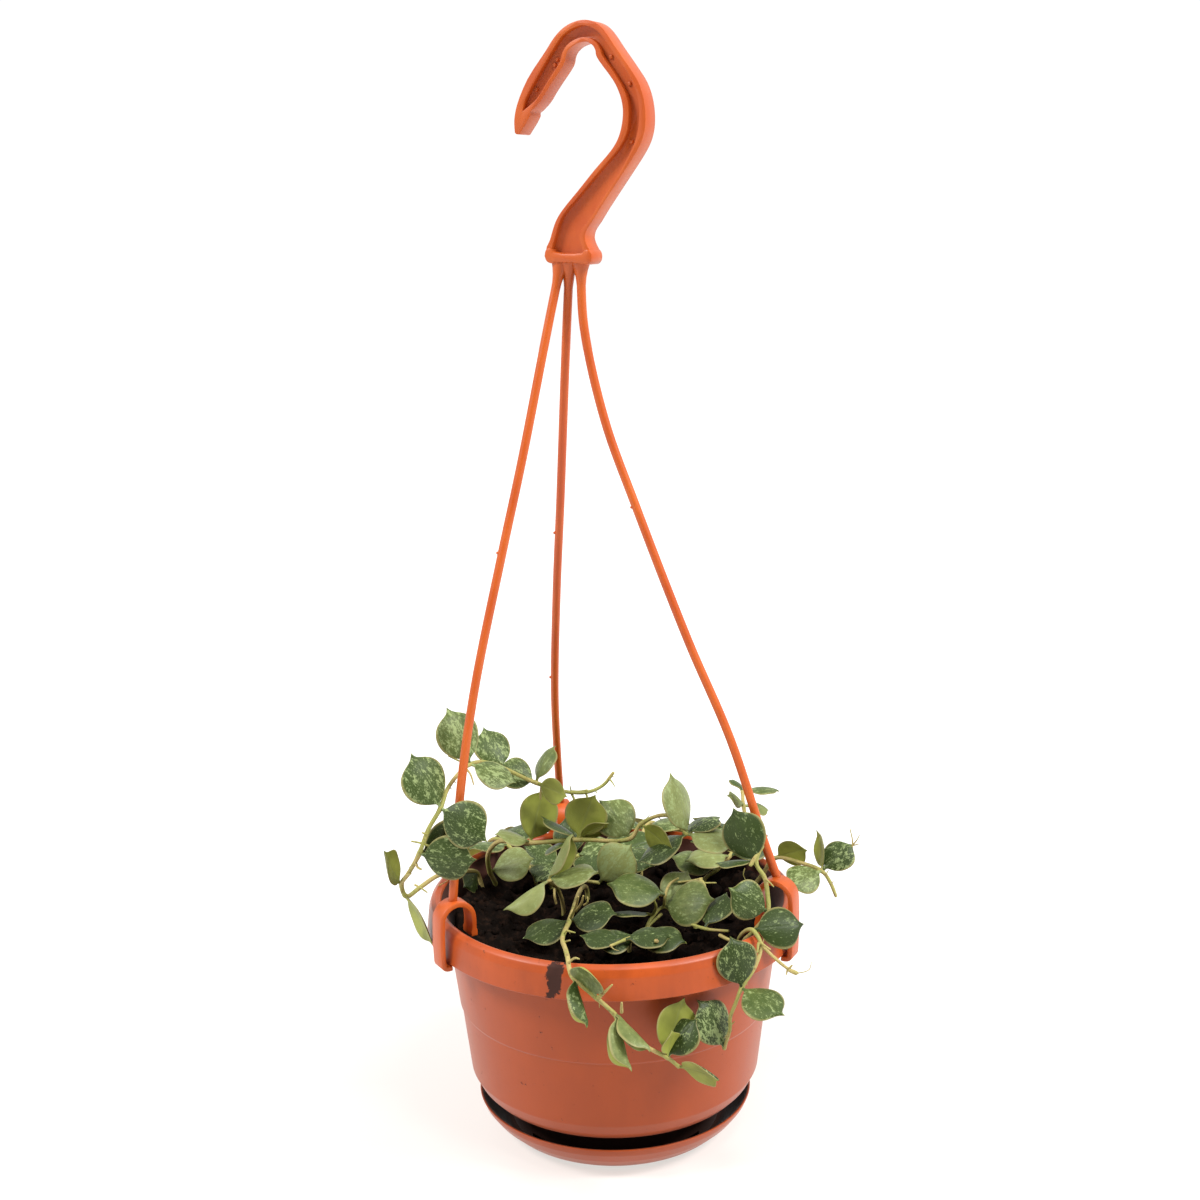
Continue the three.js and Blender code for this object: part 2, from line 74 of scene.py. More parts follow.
# The smear of soil over the front of the rim: spots along it and how far each one reaches.
SMEAR = [
    ((-19, -64.5, 92), 6.2), ((-20, -66.5, 88), 5), ((-20.5, -67, 84), 4.4), ((-22, -67, 80), 3),
]  # fmt: skip

# Soil. The outside of the filling, the height of its top, the heaps round the stems with their
# places, heights and spreads, the soil that is banked against the wall but not at the front, and
# how far out the loose crumbs lie and their sizes.
SOIL_PROFILE = [
    (0, 17.3), (43.5, 17.3), (46.2, 18.1), (50.2, 20.7), (53, 25.2), (56.2, 50.6), (60, 78),
]  # fmt: skip
SOIL_TOP = 80
HEAPS = [(40, 38, 5, 9.5), (-46, 4, 4, 13), (-30, 48, 5, 14), (4, 56, 5, 16), (52, 18, 6, 14)]
BANK = {"height": 6.5, "radius": 58, "spread": 7}
CRUMBS = {"reach": 56, "least": 0.5, "range": 2.3}

# Hanger. Outlines in the hanger's plane, sideways and up: the hook's plate from its tip over the
# top and back along the inside, the recess in its faces, and the bar with its bulged ends.
HOOK_OUTLINE = [
    (-22.7, 368.3), (-22.8, 372.4), (-21.6, 377.4), (-17.3, 385.7), (-10.1, 394.5), (-7, 398.4),
    (-4.3, 400.9), (-1.6, 402.5), (1.5, 403.5), (4.5, 403.8), (7.4, 403.3), (10, 402),
    (12.2, 400), (16.2, 394.6), (21.6, 387.4), (24.3, 383.4), (25.9, 379.6), (26.8, 375.7),
    (27.1, 372), (26.9, 368.3), (25.9, 364.6), (24, 361), (17.8, 352.7), (9.8, 342.3),
    (6.6, 337.8), (4.4, 334.9), (3.8, 332.4), (4.6, 330), (5.6, 328), (5.2, 326), (-2, 325.6),
    (-9, 326), (-11.4, 328.6), (-9.9, 331.8), (-8.7, 335.2), (-7.2, 338.6), (-4.8, 341.9),
    (1.5, 348.4), (7.7, 354.9), (14.2, 361.3), (16.5, 364.5), (17.8, 367.7), (18.5, 370.9),
    (18.7, 374.1), (18.2, 377.4), (17, 380.7), (15.2, 383.9), (10.2, 390.2), (9, 392.2),
    (8.8, 393.7), (7.9, 395.3), (6.7, 396.2), (5.1, 396.7), (2.4, 396.4), (0.2, 395.5),
    (-1.4, 394.2), (-2.3, 392.6), (-2.8, 390.5), (-4.5, 388), (-7.3, 384.7), (-10.1, 381.2),
    (-12.2, 378.4), (-15.2, 375.7), (-16.4, 374.9), (-16.5, 373.7), (-20.2, 368.5),
    (-20.9, 367.7), (-22.2, 367.8),
]  # fmt: skip
RECESS_OUTLINE = [
    (-19.4, 375.3), (-18.3, 379), (-15.8, 383), (-10.2, 390.8), (-4.3, 398.4), (-2, 400.2),
    (0.7, 401.4), (3.7, 402), (6.7, 401.5), (9.2, 400.2), (11.4, 398.1), (16, 392.2),
    (21, 385.4), (22.8, 382.2), (24, 379), (24.6, 375.8), (24.7, 372.2), (24.3, 368.2),
    (23.5, 365), (22.4, 362.4), (16.9, 353.4), (8.9, 343), (5.4, 338.4), (2.4, 335), (1.7, 332),
    (3, 327), (-9, 327), (-8.8, 329.8), (-7.5, 333.5), (-6.3, 336.9), (-4.5, 340.2),
    (2.6, 347.4), (9.6, 354.5), (16.5, 361.2), (18.9, 364.4), (20.3, 367.6), (20.8, 370.8),
    (20.9, 374), (20.5, 377.3), (19.2, 380.7), (15, 387.2), (12.6, 390.3), (11.2, 392.4),
    (10.5, 394.4), (9.1, 396.3), (7, 397.7), (4, 398.2), (0.6, 397.4), (-2.1, 395.8),
    (-3.7, 393.5), (-4.4, 391.1), (-9, 385.1), (-13.8, 379.2), (-16.6, 377.1),
]  # fmt: skip
BAR_OUTLINE = [
    (-12.1, 326.4), (-11.6, 328.4), (-10.2, 329.3), (-8.8, 328.7), (-8, 327.8), (2.6, 327.5),
    (3.6, 328.4), (5, 328.7), (6.2, 327.7), (6.6, 326), (6.2, 324.4), (4.9, 323.4), (3, 323.7),
    (-8, 324.2), (-9.7, 323.9), (-11.3, 324.6),
]  # fmt: skip
# The plane's turn in degrees and where it crosses X, and the round marks of the mould's pins.
HOOK_TURN = -26
HOOK_X = -8
HOOK_MARKS = [
    (-6.8, 391.8), (-7.8, 390.1), (-14.9, 382.4), (13.6, 391.6), (20.3, 382.6), (20.8, 363.9),
]  # fmt: skip
# The arms: the bearing and top of each one's clip, its line from the bar to the clip, and the
# heights of the nubs on it.
ARMS = [
    {
        "bearing": 211,
        "top": 102.6,
        "line": [(-14.8, 2.8, 324.4), (-19.4, -1, 304), (-29.5, -10, 257), (-37, -16.5, 225),
                 (-47.5, -26, 178), (-53.3, -31, 141.5), (-57, -34.2, 102)],
        "marks": [224],
    },
    {
        "bearing": 108.5,
        "top": 105.5,
        "line": [(-11.9, 1.9, 324.4), (-14.2, 6, 288), (-17, 15, 240), (-19.5, 26, 202),
                 (-21.5, 40, 160), (-21.5, 50, 134), (-20.8, 62, 104.6)],
        "marks": [226, 166],
    },
    {
        "bearing": -26.5,
        "top": 107.5,
        "line": [(-8, 0.1, 324.4), (-7.2, -0.4, 302), (-0.4, -3.1, 269.5), (10.3, -7.5, 239),
                 (28.1, -14.8, 192), (43, -21, 156.5), (55.3, -26.1, 118), (59.3, -27.6, 106.6)],
        "marks": [238],
    },
]  # fmt: skip
# How far the bar stands proud of the hook, and how far down and how wide the arms are flared. The
# clips: the radius at their middle, half their span and their width, the heights at which the lip
# and the inner end stop, and the points of the lip, inwards and up.
BAR_PROUD = 0.5
FLARE = {"length": 9, "width": 2}
CLIP = {"middle": 66.1, "half_span": 6.2, "width": 7, "lip": 78.3, "inner_end": 88.5}
CLIP_LIP = [(3.4, 0), (1.4, 0), (0.3, 0.7), (0, 2.4)]

# Leaves. The stalk's stations: how far along it, half its breadth and half its thickness. The
# blade's: how far along it, half its breadth as a share of its length, and half its thickness.
LEAF = {"petiole": 2, "breadth": 0.9, "arch": 0.07, "fold": 12}
LEAF_STALK = [(0, 0, 0), (0.03, 0.55, 0.55), (0.5, 0.6, 0.6), (0.85, 0.7, 0.6)]
LEAF_BLADE = [
    (0.01, 0.07, 0.6), (0.06, 0.2, 0.55), (0.14, 0.335, 0.5), (0.25, 0.445, 0.5),
    (0.38, 0.51, 0.5), (0.51, 0.53, 0.5), (0.63, 0.5, 0.48), (0.73, 0.425, 0.45),
    (0.805, 0.31, 0.42), (0.855, 0.18, 0.4), (0.895, 0.09, 0.35), (0.945, 0.04, 0.28), (1, 0, 0),
]  # fmt: skip
LEAF_AROUND = 14


def seeded(seed):
    """A repeatable run of numbers from 0 to 1."""
    state = seed * 7919
    while True:
        state = (state * 16807 + 11) % 2147483647
        yield state / 2147483647


def trailing(bearing, seed):
    """A stem that creeps from the soil over the rim at a bearing and hangs, with paired leaves."""
    draw = seeded(seed)
    way = [
        (45, 0, 70), (45, 0, 84), (50, 1, 89), (59, 2, 94), (67, 1, 94.5), (73.5, 0, 91),
        (76, -2, 82), (75.5, -4, 71), (74, -4, 60), (72, -1, 50), (71, 2, 41),
    ]  # fmt: skip
    stem = []
    for radius, turn, height in way:
        angle = math.radians(bearing + turn)
        stem.append((radius * math.cos(angle), radius * math.sin(angle), height))
    leaves = []
    for joint in (3, 5, 7, 9):
        hangs = joint > 3
        for side in (-1, 1):
            away = bearing + side * (62 + 20 * next(draw))
            lift = -10 - 25 * next(draw) if hangs else 4 + 6 * next(draw)
            roll = side * (50 + 20 * next(draw)) if hangs else side * 8 * next(draw)
            leaves.append((joint, away, lift, roll, 16 + 4 * next(draw)))
    leaves.append((10, bearing - 20, -65, 0, 17))
    return {"radius": 0.9, "stem": stem, "leaves": leaves}


# The stems: how much they thin towards the tip, swell at a leaf's joint and are uneven, how thick
# a branch is beside its stem, the share of a stem's points that has a rootlet, and the rootlets'
# radii from their foot to their tip.
STEM = {"taper": 0.3, "swell": 0.25, "uneven": 0.05, "branch": 0.8, "rootlets": 0.055}
ROOTLET = [0.32, 0.24, 0.1]
# Each stem's joints and leaves. A leaf has the number of its joint, its bearing, lift and roll in
# degrees, its length and, if it is folded along its rib, by how many degrees on each side. The
# branch's joints are numbered on from the stem's.
STEMS = {
    "vine_left_arch": {"radius": 1, "stem": [
        (-51, 24, 70), (-51, 24, 82), (-53, 25, 89), (-56, 20, 92), (-61, 14, 94),
        (-67, 9, 94.5), (-73, 4, 92), (-76.5, -14, 96), (-77.5, -16, 101), (-73.5, -26, 109.5),
        (-68, -36, 121), (-64.5, -36, 130), (-60, -35, 137.5), (-58, -30, 142.5),
        (-54.5, -25.5, 146.5), (-50.5, -20, 148.5), (-46, -13, 147), (-39, -6, 142),
        (-28, 4, 133), (-17, 8, 128), (-9, 10, 127), (-3, 12, 129), (1, 12, 134),
    ], "leaves": [
        (8, 235, 65, 115, 17), (7, 318, -52, -65, 21), (2, 250, -5, -60, 13),
        (10, 350, -5, 92, 21), (10, 40, 15, 105, 20), (12, 170, 60, -40, 22),
        (12, 335, -25, 70, 21), (15, 150, 65, -20, 22), (15, 355, -25, 20, 18),
        (17, 135, 45, -15, 18), (18, 175, 25, -50, 16), (18, 50, 50, -20, 16),
        (18, 330, -15, -85, 14),
    ]},
    "vine_centre": {"radius": 1.1, "stem": [
        (-46, 29, 70), (-46, 29, 82), (-48, 26, 89), (-48, 20, 99), (-43, 15, 106),
        (-31, 10, 107), (-13, 5, 110), (7, 1, 111.5), (11, 2, 117), (21, 0, 121),
        (28, -2, 114),
    ], "leaves": [
        (5, 50, 65, -105, 22), (6, 340, 70, -75, 20), (7, 130, 35, -40, 20),
        (5, 195, 20, -10, 15), (6, 350, 30, -45, 14), (2, 355, 20, 40, 19),
        (6, 155, 20, 20, 17), (6, 150, -30, 0, 17), (8, 320, -30, -75, 18),
        (10, 140, 70, 10, 24), (10, 345, -10, 15, 19), (10, 40, 10, -5, 17),
        (10, 190, -30, -5, 21),
    ]},
    "vine_front_left": {"radius": 0.9, "stem": [
        (-19, 8, 70), (-19, 8, 82), (-21, 2, 92), (-24, -4, 97), (-14.5, -4, 97.5),
        (-5, -2.5, 95.5),
    ], "leaves": [
        (3, 25, 60, -45, 20, 45), (3, 200, -30, -5, 20, 40), (3, 350, 15, 10, 20),
        (5, 355, 50, 75, 20),
    ]},
    "vine_front_trail": {"radius": 1, "stem": [
        (-10, 24, 70), (-10, 24, 82), (-12, 14, 86.5), (-16, -18, 87), (-18, -40, 90),
        (-16.5, -57, 93.5), (-15.5, -66, 94.5), (-14, -73, 91), (-6, -75, 84), (0, -75, 78),
        (5, -74, 70), (12, -71, 63), (18, -68, 58), (22, -65, 53),
    ], "leaves": [
        (3, 345, 15, 25, 19), (3, 205, -14, -10, 19), (8, 230, 60, 0, 17),
        (7, 295, -50, -70, 18, 54), (9, 290, -50, -78, 20, 56), (9, 320, -30, -45, 18, 50),
        (12, 50, 62, -110, 21), (12, 305, 70, 10, 12), (12, 15, 50, 25, 17),
        (13, 315, 5, -55, 18),
    ]},
    "vine_middle": {"radius": 0.8, "stem": [
        (12, -17, 70), (12, -17, 82), (15, -14, 87), (19, -13, 90), (25, -20, 88),
        (33, -30, 88.5), (41, -38, 91),
    ], "branch": [
        (19, -13, 90), (19.5, -15, 95.5), (21.5, -9, 97.5), (24.5, -9, 99.5),
    ], "leaves": [
        (8, 175, 10, -20, 22), (3, 329, 18, 50, 22), (3, 45, 35, 30, 17), (5, 50, 30, -10, 17),
        (2, 190, 5, 20, 17),
    ]},
    "vine_front_low": {"radius": 0.8, "stem": [
        (6, -27, 70), (6, -27, 82), (8, -32, 87), (4, -39, 88.5), (-1, -45, 89),
    ], "leaves": [
        (2, 205, -3, -15, 17), (2, 345, -2, 15, 19), (3, 10, 0, 10, 17), (3, 175, 0, -10, 16),
    ]},
    "vine_right_upright": {"radius": 1, "stem": [
        (47, -29, 70), (47, -29, 82), (50, -35, 89), (55, -38, 98), (55, -36, 104),
        (54, -35, 110), (51, -34, 115), (53, -31, 121), (49.5, -27, 125), (48, -16, 130),
        (48, -12, 134),
    ], "leaves": [
        (6, 135, 60, -70, 21), (6, 165, -10, 10, 15), (9, 220, 35, -40, 10),
        (9, 25, -20, 20, 11), (10, 15, -5, -5, 14), (10, 115, 10, 25, 9),
        (3, 195, 35, -70, 18),
    ]},
    "vine_right_trail": {"radius": 0.9, "stem": [
        (44, -33, 70), (44, -33, 81), (46, -40, 91), (49, -45, 94.3), (51.5, -50, 91),
        (49, -55, 85), (44, -59, 79), (42, -60, 74), (40, -61, 69), (40, -61, 65),
        (38, -60, 57),
    ], "branch": [
        (51.5, -50, 91), (56, -52, 87), (61, -53, 83), (64, -54, 82),
    ], "leaves": [
        (3, 10, 0, 50, 19), (6, 150, 80, -40, 19), (6, 315, -15, 15, 19),
        (10, 165, 65, -35, 20),
    ]},
    "vine_right_side": {"radius": 1, "stem": [
        (53, 13, 70), (53, 13, 84), (58, 11, 93), (62, 9, 100), (71, 4, 100), (79, 0, 98),
        (82, -2, 94), (84, -3, 89),
    ], "leaves": [
        (3, 325, 25, -70, 15), (5, 210, -8, -30, 17), (5, 20, 35, 35, 16), (5, 95, 50, 95, 16),
    ]},
    "vine_back_right": {"radius": 0.9, "stem": [
        (36, 27, 70), (36, 27, 84), (41, 25, 89), (46, 24, 95), (49, 33, 97), (47, 44, 96),
        (51, 52, 92), (54, 54, 84), (53.5, 54, 73), (52, 53, 62), (50, 52, 51),
    ], "leaves": [
        (2, 175, 15, -15, 19), (3, 195, 0, -10, 18), (3, 30, 10, 25, 18), (4, 175, 0, -10, 18),
        (4, 120, 10, 0, 18), (5, 340, 5, 0, 17), (5, 170, 25, 50, 16), (7, 320, -25, -60, 18),
        (7, 135, -25, 60, 18), (8, 335, -30, -70, 19), (9, 130, -35, 65, 18),
        (10, 60, -70, 0, 17),
    ]},
    "vine_back_soil": {"radius": 0.9, "stem": [
        (-24, 30, 70), (-24, 30, 82), (-21, 36, 88), (-14, 41, 89.5), (-5, 43, 90),
        (3, 42, 90.5),
    ], "leaves": [
        (2, 150, 15, -25, 17), (2, 235, -5, -15, 17), (3, 120, 50, -30, 17),
        (3, 10, 12, 35, 16), (4, 20, 10, 30, 18), (4, 245, -10, -5, 17), (5, 25, 5, 40, 18),
        (5, 325, -10, 25, 17), (5, 260, -12, 15, 17),
    ]},
    "vine_back_middle": trailing(75, 1),
    "vine_back_left": trailing(133, 2),
}  # fmt: skip

# Stubs, spurs and rootlets that stand out on the stems: the radius where each starts and ends,
# and its way.
TWIGS = {
    "vine_left_arch": [
        (0.5, 0.35, [(-64, -36, 123.5), (-67, -36.5, 125), (-70.5, -37, 126)]),
        (0.6, 0.45, [(-70, -33, 117.5), (-69, -35, 115.5), (-67.5, -37, 115.5)]),
        (0.5, 0.3, [(-74, -27, 109.5), (-72, -30, 111)]),
        (0.5, 0.3, [(-65, -37, 128.5), (-66.5, -38, 129.5)]),
        (0.5, 0.3, [(-75, 4, 93), (-72.5, 2, 92.5), (-70, 0, 91.5)]),
        (0.3, 0.15, [(-66.5, 6, 91.5), (-62.5, 4, 94.5)]),
        (0.45, 0.25, [(-53, -22, 150), (-55, -25, 152), (-57.5, -27, 154)]),
        (0.55, 0.3, [(-52.5, -22, 148.5), (-50, -24, 146), (-49, -25, 142.5)]),
        (0.55, 0.4, [(-26, 5, 132), (-26.5, 4, 129), (-26.5, 4, 126.5)]),
        (0.9, 0.8, [(-15, 9, 127.5), (-12, 10, 127), (-9, 10, 127.5)]),
        (0.35, 0.2, [(-15, 9, 127.5), (-15.5, 8, 130.5)]),
        (0.6, 0.45, [(-15, 9, 127), (-14, 8, 125), (-14, 8, 123)]),
        (0.5, 0.35, [(-9.5, 10, 126.5), (-9, 9, 125), (-9.5, 9, 123.5)]),
        (0.35, 0.2, [(-6, 11, 128), (-5.5, 10, 126.5)]),
        (0.45, 0.2, [(-1, 12, 132), (0.5, 11, 130.5), (1.5, 10, 129)]),
        (0.4, 0.2, [(-0.5, 12, 132.5), (1, 12, 132.5)]),
    ],
    "vine_front_left": [
        (0.6, 0.5, [(-21.5, -8, 95.5), (-21.5, -10, 93.5), (-21, -10, 90.5)]),
    ],
    "vine_front_trail": [
        (0.6, 0.45, [(-15.5, -20, 89), (-13.5, -22, 94), (-12.5, -24, 99)]),
        (0.6, 0.4, [(-13.5, -23, 93), (-11.5, -25, 96.5), (-10.5, -27, 100.5)]),
        (0.4, 0.3, [(-10.5, -26, 96.5), (-9, -28, 98.5), (-9, -28, 100.5)]),
        (0.5, 0.3, [(-16.5, -37, 91.5), (-13.5, -40, 92)]),
        (0.5, 0.35, [(-17, -48, 92), (-15, -51, 94)]),
        (0.5, 0.35, [(-15.5, -69, 93.5), (-13, -72, 97), (-11.5, -74, 97.5)]),
        (0.9, 0.35, [(-5.5, -76, 84), (-3.5, -77, 86.5), (-0.5, -78, 90)]),
        (0.45, 0.3, [(-4.5, -76, 84.5), (-5, -77, 87)]),
        (0.7, 0.45, [(2.5, -77, 79.5), (2.5, -79, 84)]),
    ],
    "vine_middle": [
        (0.75, 0.5, [(14.5, -14, 87), (16, -16, 91), (15, -18, 95)]),
        (0.5, 0.4, [(17, -12, 92.5), (16.5, -13, 94.5), (19.5, -14, 94.5)]),
        (0.7, 0.4, [(18, -14, 87.5), (13.5, -17, 84.5), (12, -18, 82.5)]),
        (0.6, 0.4, [(15.5, -14, 87), (12.5, -15, 88.5)]),
        (0.5, 0.4, [(24.5, -9, 98), (29, -8, 98), (33.5, -8, 99)]),
        (1, 0.8, [(32.5, -8, 98.5), (34, -10, 97), (33.5, -12, 93.5)]),
        (0.4, 0.3, [(33.5, -9, 97.5), (38.5, -9, 97.5)]),
        (0.8, 0.7, [(38, -37, 89), (41, -40, 88.5)]),
    ],
    "vine_front_low": [
        (0.6, 0.5, [(7, -33, 87.5), (10, -36, 89.5)]),
        (0.9, 0.9, [(15, -42, 89.5), (15.5, -42, 89)]),
    ],
    "vine_right_upright": [
        (0.9, 0.8, [(53.5, -32, 120.5), (51, -34, 117.5), (49, -35, 114.5)]),
        (0.5, 0.25, [(54, -35, 109.5), (55.5, -37, 109), (57, -38, 107.5)]),
        (0.8, 0.7, [(55.5, -39, 97.5), (55, -40, 97)]),
        (0.3, 0.15, [(49.5, -4, 101), (49, -4, 98.5), (50.5, -3, 95)]),
    ],
    "vine_right_trail": [
        (0.6, 0.4, [(50.5, -51, 92), (50, -53, 89.5)]),
        (0.5, 0.35, [(51.5, -51, 92), (54.5, -53, 90.5)]),
        (0.8, 0.9, [(61, -53.5, 83), (63.5, -54, 82)]),
        (0.4, 0.25, [(60.5, -53, 83), (60, -54, 81.5)]),
        (0.5, 0.3, [(61, -53.5, 83.5), (62, -54, 85)]),
        (0.2, 0.12, [(63.5, -54, 82), (66.5, -55, 83), (68, -55, 84), (68.5, -55, 86.5)]),
    ],
    "vine_right_side": [
        (0.4, 0.2, [(89.5, -5, 109.5), (89.5, -5, 112), (88.5, -5, 116.5)]),
        (0.35, 0.15, [(89.5, -5, 110), (91, -6, 112.5), (92, -6, 114.5)]),
        (0.3, 0.15, [(90, -5, 110), (92, -6, 111)]),
        (0.7, 0.5, [(79, 0, 98), (76, -1, 98.5)]),
    ],
}  # fmt: skip

# How pale and how flecked some of the leaves are, each from 0 to about 1, and True where a leaf
# is turned over. The paleness paints light and shade besides the leaves' own tone: low values
# darken leaves that lie in shadow, high ones brighten lit leaves. The rest are drawn.
LEAF_TONES_AND_SHADE = {
    "vine_left_arch": {3: (0.35, 0.5), 4: (0.1, 0.2), 5: (0.5, 0.7), 6: (0.3, 0.5), 7: (0.65, 0.9),
                       8: (0.65, 0.9), 9: (0.55, 0.8), 10: (0.6, 0.8), 11: (0.7, 0.2)},
    "vine_centre": {2: (0.7, 0.5), 3: (0.9, 0.3), 4: (0.9, 0.3), 5: (0.9, 0.7), 7: (0.3, 0.4),
                    8: (1, 0.4), 9: (0.9, 0.7), 10: (1, 0.8), 12: (0, 0.3)},
    "vine_front_left": {0: (1, 0.5), 1: (1, 0.3), 2: (0.8, 0.4), 3: (1.2, 1)},
    "vine_front_trail": {0: (0.1, 0.3), 1: (0.2, 0.2), 2: (0.7, 0.5, True), 3: (0.5, 0.4),
                         4: (0.8, 0.1), 5: (0.8, 0.1), 6: (1, 0.1), 7: (0.9, 0.1), 8: (0, 0.3)},
    "vine_middle": {0: (0.6, 0.3), 1: (0.7, 0.3), 2: (0.8, 0.4), 3: (0, 0.2), 4: (0.1, 0.3)},
    "vine_front_low": {0: (0, 0.2), 1: (0, 0.1), 2: (0, 0.1), 3: (0, 0.1)},
    "vine_right_upright": {0: (0.1, 0.1), 1: (0.1, 0.1), 2: (0.8, 0.2), 3: (0.8, 0.2),
                           6: (0.4, 0.55)},
    "vine_right_trail": {0: (0, 0.1), 1: (0, 0.5), 2: (0.6, 0.4), 3: (0.2, 1)},
    "vine_right_side": {0: (0.5, 0.3), 1: (0.7, 0.8), 2: (0.35, 0.65), 3: (0.6, 0.1)},
    "vine_back_right": {1: (0.9, 0.4)},
}  # fmt: skip

# The stage, in metres: half the floor's side, the backdrop's radius and the flag's place. The
# camera's place, and how far it turns left, looks down and tilts in degrees. What the lamps aim
# at, and their places, sizes and shares of the key light's power.
STAGE = {"floor": 4, "backdrop": 8, "flag": (0, -1.3, 0.9)}
EYE = {"place": (0, -0.6, 0.338), "left": 0.29, "down": 12.61, "tilt": -0.87}
AIM = (0, 0, 0.12)
LAMPS = {
    "key": ((1.45, -0.6, 1.7), 0.6, 1),
    "fill": ((-1.45, -0.55, 1.7), 0.6, 0.75),
    "top": ((0.3, -0.7, 1.6), 0.3, 0.16),
}


def length_of(name, description, default):
    """A length that a user would change, in metres."""
    return FloatProperty(name=name, description=description, default=default, unit="LENGTH")


def colour_of(name, description, default):
    """A colour that a user would change."""
    return FloatVectorProperty(name=name, description=description, default=default, subtype="COLOR")


class PotLooks(bpy.types.PropertyGroup):
    """Sizes and colours of the pot and its saucer."""

    edge_round: length_of("Edge rounding", "How far the moulded corners are rounded", 0.0004)
    facets: IntProperty(name="Facets", description="Steps round the pot's axis", default=144)
    colour: colour_of("Colour", "Colour of the pot's plastic", (0.46, 0.075, 0.01))
    shade: colour_of("Shade", "Deeper tone where the plastic is thicker", (0.33, 0.053, 0.008))
    # Soil dust's colour, which also paints shade inside the wall, in the saucer and at the foot.
    grime_and_shade: colour_of("Grime", "Colour of the soil dust on the plastic", (0.012, 0.005, 0.003))


class HangerLooks(bpy.types.PropertyGroup):
    """Sizes and colours of the hanger."""

    rod_radius: length_of("Arm radius", "Half the thickness of the three arms", 0.0016)
    thickness: length_of("Hook thickness", "Thickness of the hook across its plane", 0.008)
    recess: length_of("Recess depth", "How far the web lies below its raised edges", 0.0025)
    strap: length_of("Clip thickness", "Thickness of the clips' straps", 0.0019)
    colour: colour_of("Colour", "Colour of the hanger's plastic", (0.52, 0.102, 0.013))


class SoilLooks(bpy.types.PropertyGroup):
    """Crumbs and colours of the soil."""

    roughness: length_of("Roughness", "Height of the soil's lumps", 0.0017)
    crumbs: IntProperty(name="Crumbs", description="Number of loose crumbs", default=420)
    # Nearly black: the damp soil's own dark, deepened as painted shade.
    colour: colour_of("Colour", "Colour of the damp soil", (0.006, 0.004, 0.003))


class FoliageLooks(bpy.types.PropertyGroup):
    """Sizes and colours of the stems and leaves."""

    rootlets: IntProperty(name="Rootlets", description="How rich in rootlets the stems are", default=2)
    upper: colour_of("Upper face", "Green of the leaves' upper faces", (0.055, 0.085, 0.018))
    silver: colour_of("Flecks", "Silvery green of the flecks", (0.25, 0.31, 0.125))
    # The under faces' olive is brighter than their own, as painted light shining through the leaves.
    under: colour_of("Under face", "Olive of the leaves' under faces", (0.29, 0.315, 0.057))
    stem: colour_of("Stem", "Colour of the stems", (0.42, 0.33, 0.11))


class StageLooks(bpy.types.PropertyGroup):
    """Floor, lights and camera."""

    floor: colour_of("Floor", "Colour of the floor", (0.3, 0.29, 0.28))
    key: FloatProperty(
        name="Key light", description="Power of the key light", default=52, unit="POWER"
    )
    lens: FloatProperty(
        name="Lens", description="Focal length of the camera", default=50.8, subtype="DISTANCE_CAMERA"
    )


class Reading:
    """A node's output that takes part in Python sums."""

    def __init__(self, finish, socket):
        self.finish = finish
        self.socket = socket

    def _sum(self, operation, *values):
        inputs = dict(enumerate(values))
        return self.finish.node("ShaderNodeMath", {"operation": operation}, inputs)

    def __add__(self, other):
        return self._sum("ADD", self, other)

    def __radd__(self, other):
        return self._sum("ADD", other, self)

    def __sub__(self, other):
        return self._sum("SUBTRACT", self, other)

    def __rsub__(self, other):
        return self._sum("SUBTRACT", other, self)

    def __mul__(self, other):
        return self._sum("MULTIPLY", self, other)

    def __rmul__(self, other):
        return self._sum("MULTIPLY", other, self)

    def __pow__(self, other):
        return self._sum("POWER", self, other)

    def __rpow__(self, other):
        return self._sum("POWER", other, self)


